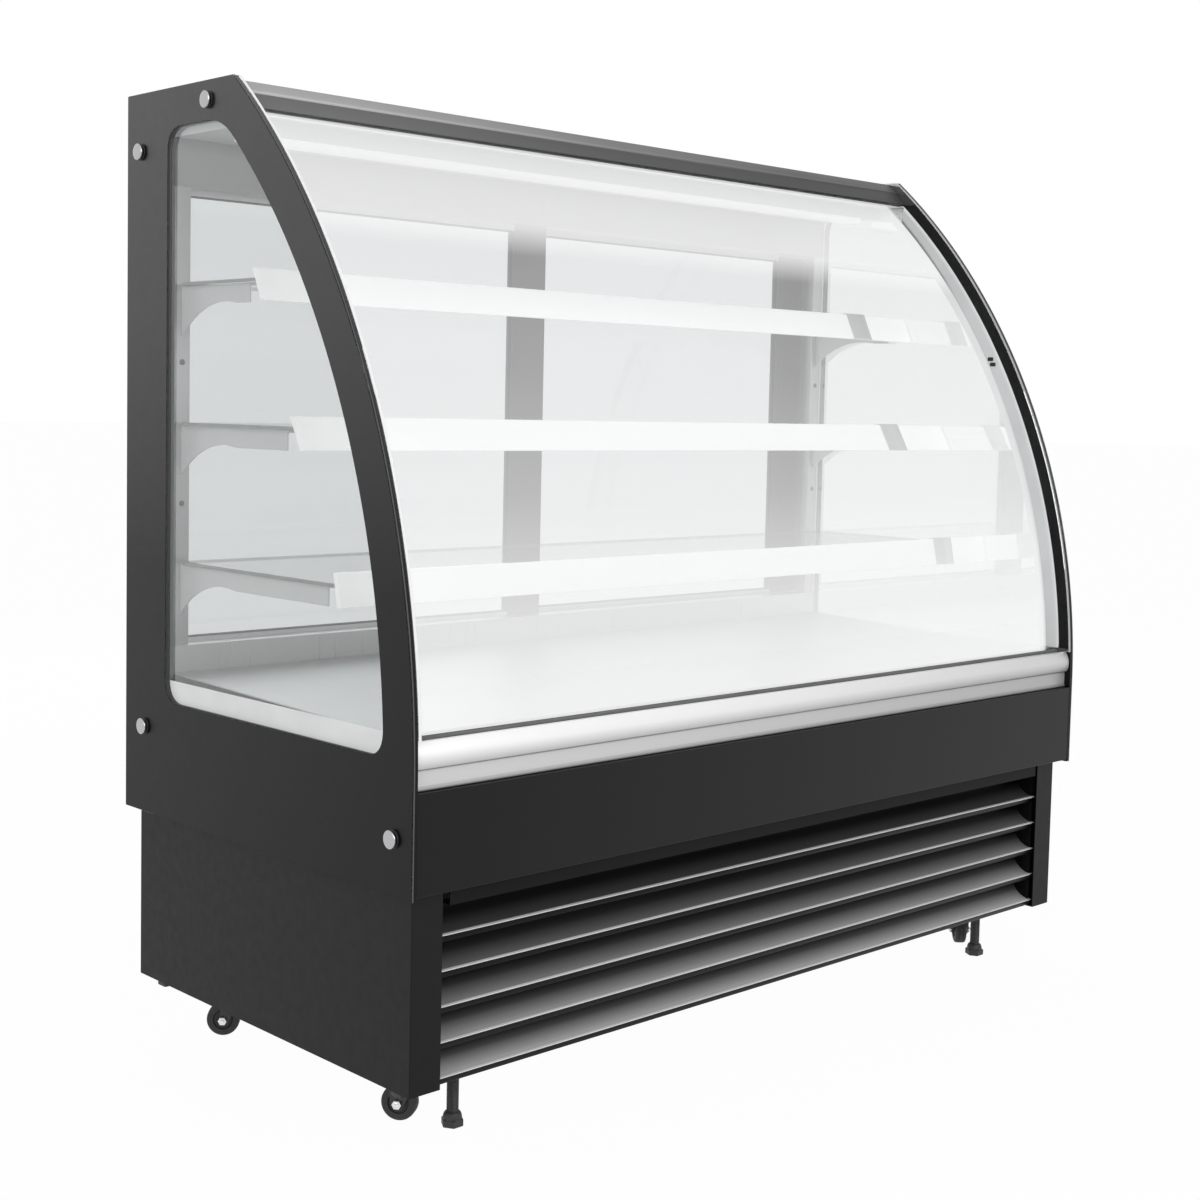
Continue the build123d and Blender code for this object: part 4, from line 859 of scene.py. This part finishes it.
# Painted shade: the deck darkens towards the doors, with a little random cloud.
deck_shade_and_cloud = combined(tree, "ADD", along(tree, "Y", 0.27, -0.33),
                      combined(tree, "MULTIPLY", grain(tree, 4), 0.12))
tree.links.new(ramp(tree, deck_shade_and_cloud, [(0.05, (0.25, 0.253, 0.256)), (0.35, (0.54, 0.545, 0.55)),
                                       (0.85, (0.93, 0.935, 0.94))]), shader.inputs["Base Color"])
wall_steel = brushed_steel("wall_steel", (0.56, 0.565, 0.57), 2, 0.30)
header_steel = brushed_steel("header_steel", (0.34, 0.343, 0.346), 2, 0.30)
coat("deck_pan", deck_steel)
coat("rear_sill", wall_steel, 0.0005)
coat("rear_header", header_steel, 0.0005)

# Shelf standards: folded channels in the rear corners, with round fixing holes drawn as small dark studs in
# painted shade.
# White brackets hook into them and carry the glass on small black pads.
post_steel = brushed_steel("post_steel", (0.50, 0.505, 0.51), 2, 0.34)
post_low, post_high = box_of("shelf_posts")
for side, word in both_sides:
    outer, inner, sheet = side * post_high[0], side * (post_high[0] - 0.026), 0.002
    west, east = min(outer, inner), max(outer, inner)
    south, north = post_low[1], post_high[1]
    section = [(west, south), (east, south), (east, north), (east - sheet, north),
               (east - sheet, south + sheet), (west + sheet, south + sheet), (west + sheet, north),
               (west, north)]
    bar("shelf_standard_" + word, softened(section, 0.0009), 2, post_low[2], post_high[2], "cabinet",
        post_steel, ["shelf_posts"], eased=0.0004)
bracket_white = finish("bracket_white", (0.74, 0.745, 0.75), 0.35, 0.2, rough=(120, 0.3, 0.42))
coat("shelf_brackets", bracket_white, 0.0004)
# Painted shade: each fixing hole is a small dark stud standing in for the shade inside a hole.
dark_hole = finish("dark_hole", (0.02, 0.02, 0.02), 0.7, rough=(500, 0.6, 0.8))
stud_outline = [(0.1, 0.3), (0.1, 4.4), (0.7, 4.4), (1, 4), (1, 3.4), (0.3, 3), (0.3, 0.3)]
for side, word in both_sides:
    for level, spot in ((0.817, "low"), (1.025, "high")):
        turned("post_fixing_" + spot + "_" + word, stud_outline, (side * 0.7227, 0.24395, level), (0, -1, 0),
               "cabinet", dark_hole, columns=32)

# Door tracks, jambs and doors: satin aluminium sections, with a wide black stile on each door.
# Stiles have a finger pull; the glass is set in thin black beads.
aluminium = brushed_steel("aluminium", (0.70, 0.705, 0.71), 2, 0.34)
track_metal = brushed_steel("track_metal", (0.66, 0.665, 0.67), 0, 0.32)
coat("door_tracks", track_metal, 0.0003)
coat("door_jambs", aluminium, 0.0004)
stile_black = finish("stile_black", (0.03, 0.03, 0.032), 0.38,
                     tones=(6, (0.026, 0.026, 0.028), (0.038, 0.038, 0.040)),
                     relief=((700, 700, 4), 2, 0.08, 0.0003))
bead_black = finish("bead_black", (0.02, 0.02, 0.02), 0.6, relief=(400, 2, 0.15, 0.0003))
door_clear = sheet_glass("door_clear", (0.85, 0.86, 0.865))
for word in ("left", "right"):
    coat("door_frame_" + word, aluminium, 0.0005)
    coat("door_stile_" + word, stile_black, 0.0012)
    coat("door_glass_" + word, door_clear)
    low, high = box_of("door_glass_" + word)
    for face, toward in (("inside", -1), ("outside", 1)):
        y = low[1] if toward < 0 else high[1]
        for edge, level in (("bottom", low[2] + 0.0062), ("top", high[2] - 0.0062)):
            near_y, far_y = sorted((y + toward * 0.0001, y + toward * 0.0026))
            section = box_outline((near_y, level - 0.0016), (far_y, level + 0.0016), 0.0007)
            bar("door_bead_" + word + "_" + face + "_" + edge, section, 0, low[0] + 0.006, high[0] - 0.006,
                "door_" + word, bead_black, eased=0.0003)
    stile_low, stile_high = box_of("door_stile_" + word)
    middle = (stile_low + stile_high) / 2
    ring = full_turn(96)
    half = np.array([0.0126, 0.0596])
    shape_power = 0.36
    lip = np.stack([half[0] * np.sign(np.cos(ring)) * np.abs(np.cos(ring)) ** shape_power,
                    half[1] * np.sign(np.sin(ring)) * np.abs(np.sin(ring)) ** (shape_power * 0.5)], axis=-1)
    loops = []
    for scale, depth in ((1.00, 0.0000), (1.00, 0.0006), (0.965, 0.0010), (0.93, 0.0008), (0.90, 0.0000),
                         (0.90, -0.0040), (0.93, -0.0044)):
        flat = lip * (1 - (1 - scale) * np.array([1.0, 0.22]))
        loops.append(np.column_stack([middle[0] + flat[:, 0], np.full(len(ring), stile_high[1] + depth),
                                      middle[2] + flat[:, 1]]))
    lattice("door_pull_rim_" + word, loops, "door_" + word, bead_black, ring=True,
            crease=40)

# Shelves: clear glass with ground edges on the brackets, each behind a leaning lit strip.
# The strips are white extrusions with a rounded top; each carries a grey ticket clip near its right end.
shelf_clear = sheet_glass("shelf_clear", (0.93, 0.945, 0.94), 1.5, edge=(0.30, 0.33, 0.32), across="Z",
                          cloud=0.8, shine=0.8, blur=0.03)
strip_plastic = lit_plastic("strip_plastic", 0.30)
clip_plastic, tree, shader = new_paint("clip_plastic", (0.42, 0.43, 0.44), 0.22)
clip_run = ramp(tree, along(tree, "X", 0.575, 0.645), [(0.0, 0.50), (0.35, 0.42), (0.55, 0.56), (1.0, 0.46)])
tree.links.new(clip_run, shader.inputs["Base Color"])
bumped(tree, shader, grain(tree, 300, 2), 0.06, 0.0002)
levels = {"lower": (0.733, 0.190, 12), "middle": (0.937, 0.290, 29), "upper": (1.141, 0.386, 25)}
clip_places = {"lower": 0.604, "middle": 0.572, "upper": 0.583}
rim = 0.0006
for word, (top, front_back, lean) in levels.items():
    slope = math.tan(math.radians(lean))
    low, high = box_of("shelf_glass_" + word)
    rows = []
    for inset, level in ((rim, low[2]), (0.0, low[2] + rim), (0.0, high[2] - rim), (rim, high[2])):
        outline = box_outline((low[0] + inset, low[1] + inset), (high[0] - inset, high[1] - inset), 0.006, 6)
        rows.append(np.column_stack([outline, np.full(len(outline), level)]))
    lattice("shelf_pane_" + word, rows, "cabinet", shelf_clear, ["shelf_glass_" + word],
            crease=25)
    top_y, top_z = -0.356 + front_back + 0.014 * slope, top + 0.014
    foot_y, foot_z = top_y - 0.046 * slope, top_z - 0.046
    section = [(foot_y, foot_z), (top_y, top_z), (top_y + 0.009, top_z),
               (top_y + 0.009 - 0.010 * slope, top_z - 0.010),
               (top_y + 0.0084 - 0.0115 * slope, top_z - 0.0115),
               (foot_y + 0.0084 + 0.002 * slope, foot_z + 0.002), (foot_y + 0.009, foot_z)]
    bar("lit_strip_" + word, softened(section, 0.0018), 0, -0.7318, 0.7318, "cabinet", strip_plastic,
        ["light_strip_" + word], eased=0.0008)
    place = clip_places[word]
    section = [(foot_y - 0.0019, foot_z + 0.0006)]
    section += [(top_y + over, top_z + lift) for over, lift in (
        (-0.0022, 0.0004), (-0.0008, 0.0020), (0.0076, 0.0020), (0.0090, 0.0006), (0.0078, 0.0004),
        (0.0066, 0.0008), (0.0006, 0.0008), (-0.0010, -0.0002))]
    section.append((foot_y - 0.0007, foot_z + 0.0008))
    bar("ticket_clip_" + word, softened(section, 0.0005), 0, place - 0.026, place + 0.026, "cabinet",
        clip_plastic, eased=0.0004)
    for side, end in both_sides:
        for spot, y in (("front", low[1] + 0.030), ("rear", high[1] - 0.040)):
            turned("shelf_pad_" + word + "_" + end + "_" + spot,
                   [(-0.3, 0.2), (-0.3, 5), (-0.1, 5.4), (0.1, 5), (0.1, 0.2)],
                   (side * 0.717, y, low[2] - 0.00015), (0, 0, 1), "cabinet", bead_black,
                   columns=24)

# Front glass: one sheet bent to the end panels' curve, hung from a slim satin bar at its top edge.
# Its rim is ground. Its face carries a painted reflection of the white room, set by height and strongest low
# down and near the top.
curved_clear = sheet_glass("curved_clear", (0.985, 0.99, 0.99), 1.45,
                           [(0.60, 0.78), (0.70, 0.70), (0.85, 0.48), (1.03, 0.36), (1.19, 0.31),
                            (1.235, 0.74), (1.37, 0.66)])
arc_low = math.asin((0.554 - curve_z) / (curve_reach - 0.027))
arc_high = math.asin((1.3714 - curve_z) / (curve_reach - 0.027))
sweep = np.linspace(arc_low, arc_high, 97)
rows = []
full_half = inner_half - rim
for out_by, inset in ((inner_half, rim), (full_half, 0.0), (-full_half, 0.0), (-inner_half, rim)):
    front_face = np.stack([curve_y - (curve_reach - 0.024 - inset) * np.cos(sweep),
                           curve_z + (curve_reach - 0.024 - inset) * np.sin(sweep)], axis=-1)
    rear_face_path = np.stack([curve_y - (curve_reach - 0.030 + inset) * np.cos(sweep),
                               curve_z + (curve_reach - 0.030 + inset) * np.sin(sweep)], axis=-1)[::-1]
    outline = np.concatenate([front_face, rear_face_path])
    rows.append(standing(out_by, outline))
lattice("front_pane", rows, "front_glass", curved_clear, ["front_glass"], crease=30)
hinge_y, hinge_z = float(curve_place(0.027, 1.3656)), 1.3656
turned("pivot_bar", [(-741.7, 0.1), (-741.7, 2.6), (-741.3, 3), (-735.7, 3), (-735.7, 4.1),
                     (-735.2, 4.5), (735.2, 4.5), (735.7, 4.1), (735.7, 3), (741.3, 3), (741.7, 2.6),
                     (741.7, 0.1)],
       (0, hinge_y, hinge_z), (1, 0, 0), "front_glass", track_metal, ["glass_hinge"],
       columns=32)
stop_section = box_outline((-0.0055, -0.0035), (0.0055, 0.0035), 0.002)
for side, word in both_sides:
    for spot, level in (("low", 1.0672), ("high", 1.0770)):
        y = float(curve_place(0.0335, level))
        section = stop_section + np.array([y + 0.0055, level])
        bar("glass_stop_" + spot + "_" + word, section, 0, side * 0.7330, side * 0.7359, "cabinet",
            bead_black, eased=0.0005)

# Controls: a black bezel on the rear of the tub with a lit rocker, a small window and three keys.
# The keys are soft plastic domes; the window is smoked.
bezel_plastic = finish("bezel_plastic", (0.02, 0.02, 0.021), 0.4, relief=(600, 2, 0.15, 0.0003))
coat("control_panel", bezel_plastic, 0.0010)
rocker_red, tree, shader = new_paint("rocker_red", (0.35, 0.02, 0.015), 0.3)
tip_tone = ramp(tree, along(tree, "Z", 0.437, 0.463), [(0.0, (0.30, 0.015, 0.012)),
                                                       (1.0, (0.42, 0.03, 0.02))])
tree.links.new(tip_tone, shader.inputs["Base Color"])
coat("rocker_switch", rocker_red, 0.0005)
smoked = finish("smoked", (0.008, 0.008, 0.009), 0.08, rough=(40, 0.05, 0.12))
panel_face = box_of("control_panel")[1][1]
section = box_outline((0.585, 0.437), (0.636, 0.463), 0.003)
bar("control_window", section, 1, panel_face + 0.00005, panel_face + 0.0014, "cabinet", smoked)
for index in range(3):
    turned("control_key_" + str(index + 1),
           [(0.1, 0.2), (0.1, 4.8), (0.5, 5), (1, 4.4), (1.3, 3), (1.4, 0.2)],
           (0.487 + 0.020 * index, panel_face, 0.450), (0, 1, 0), "cabinet", moulded_black,
           columns=32)
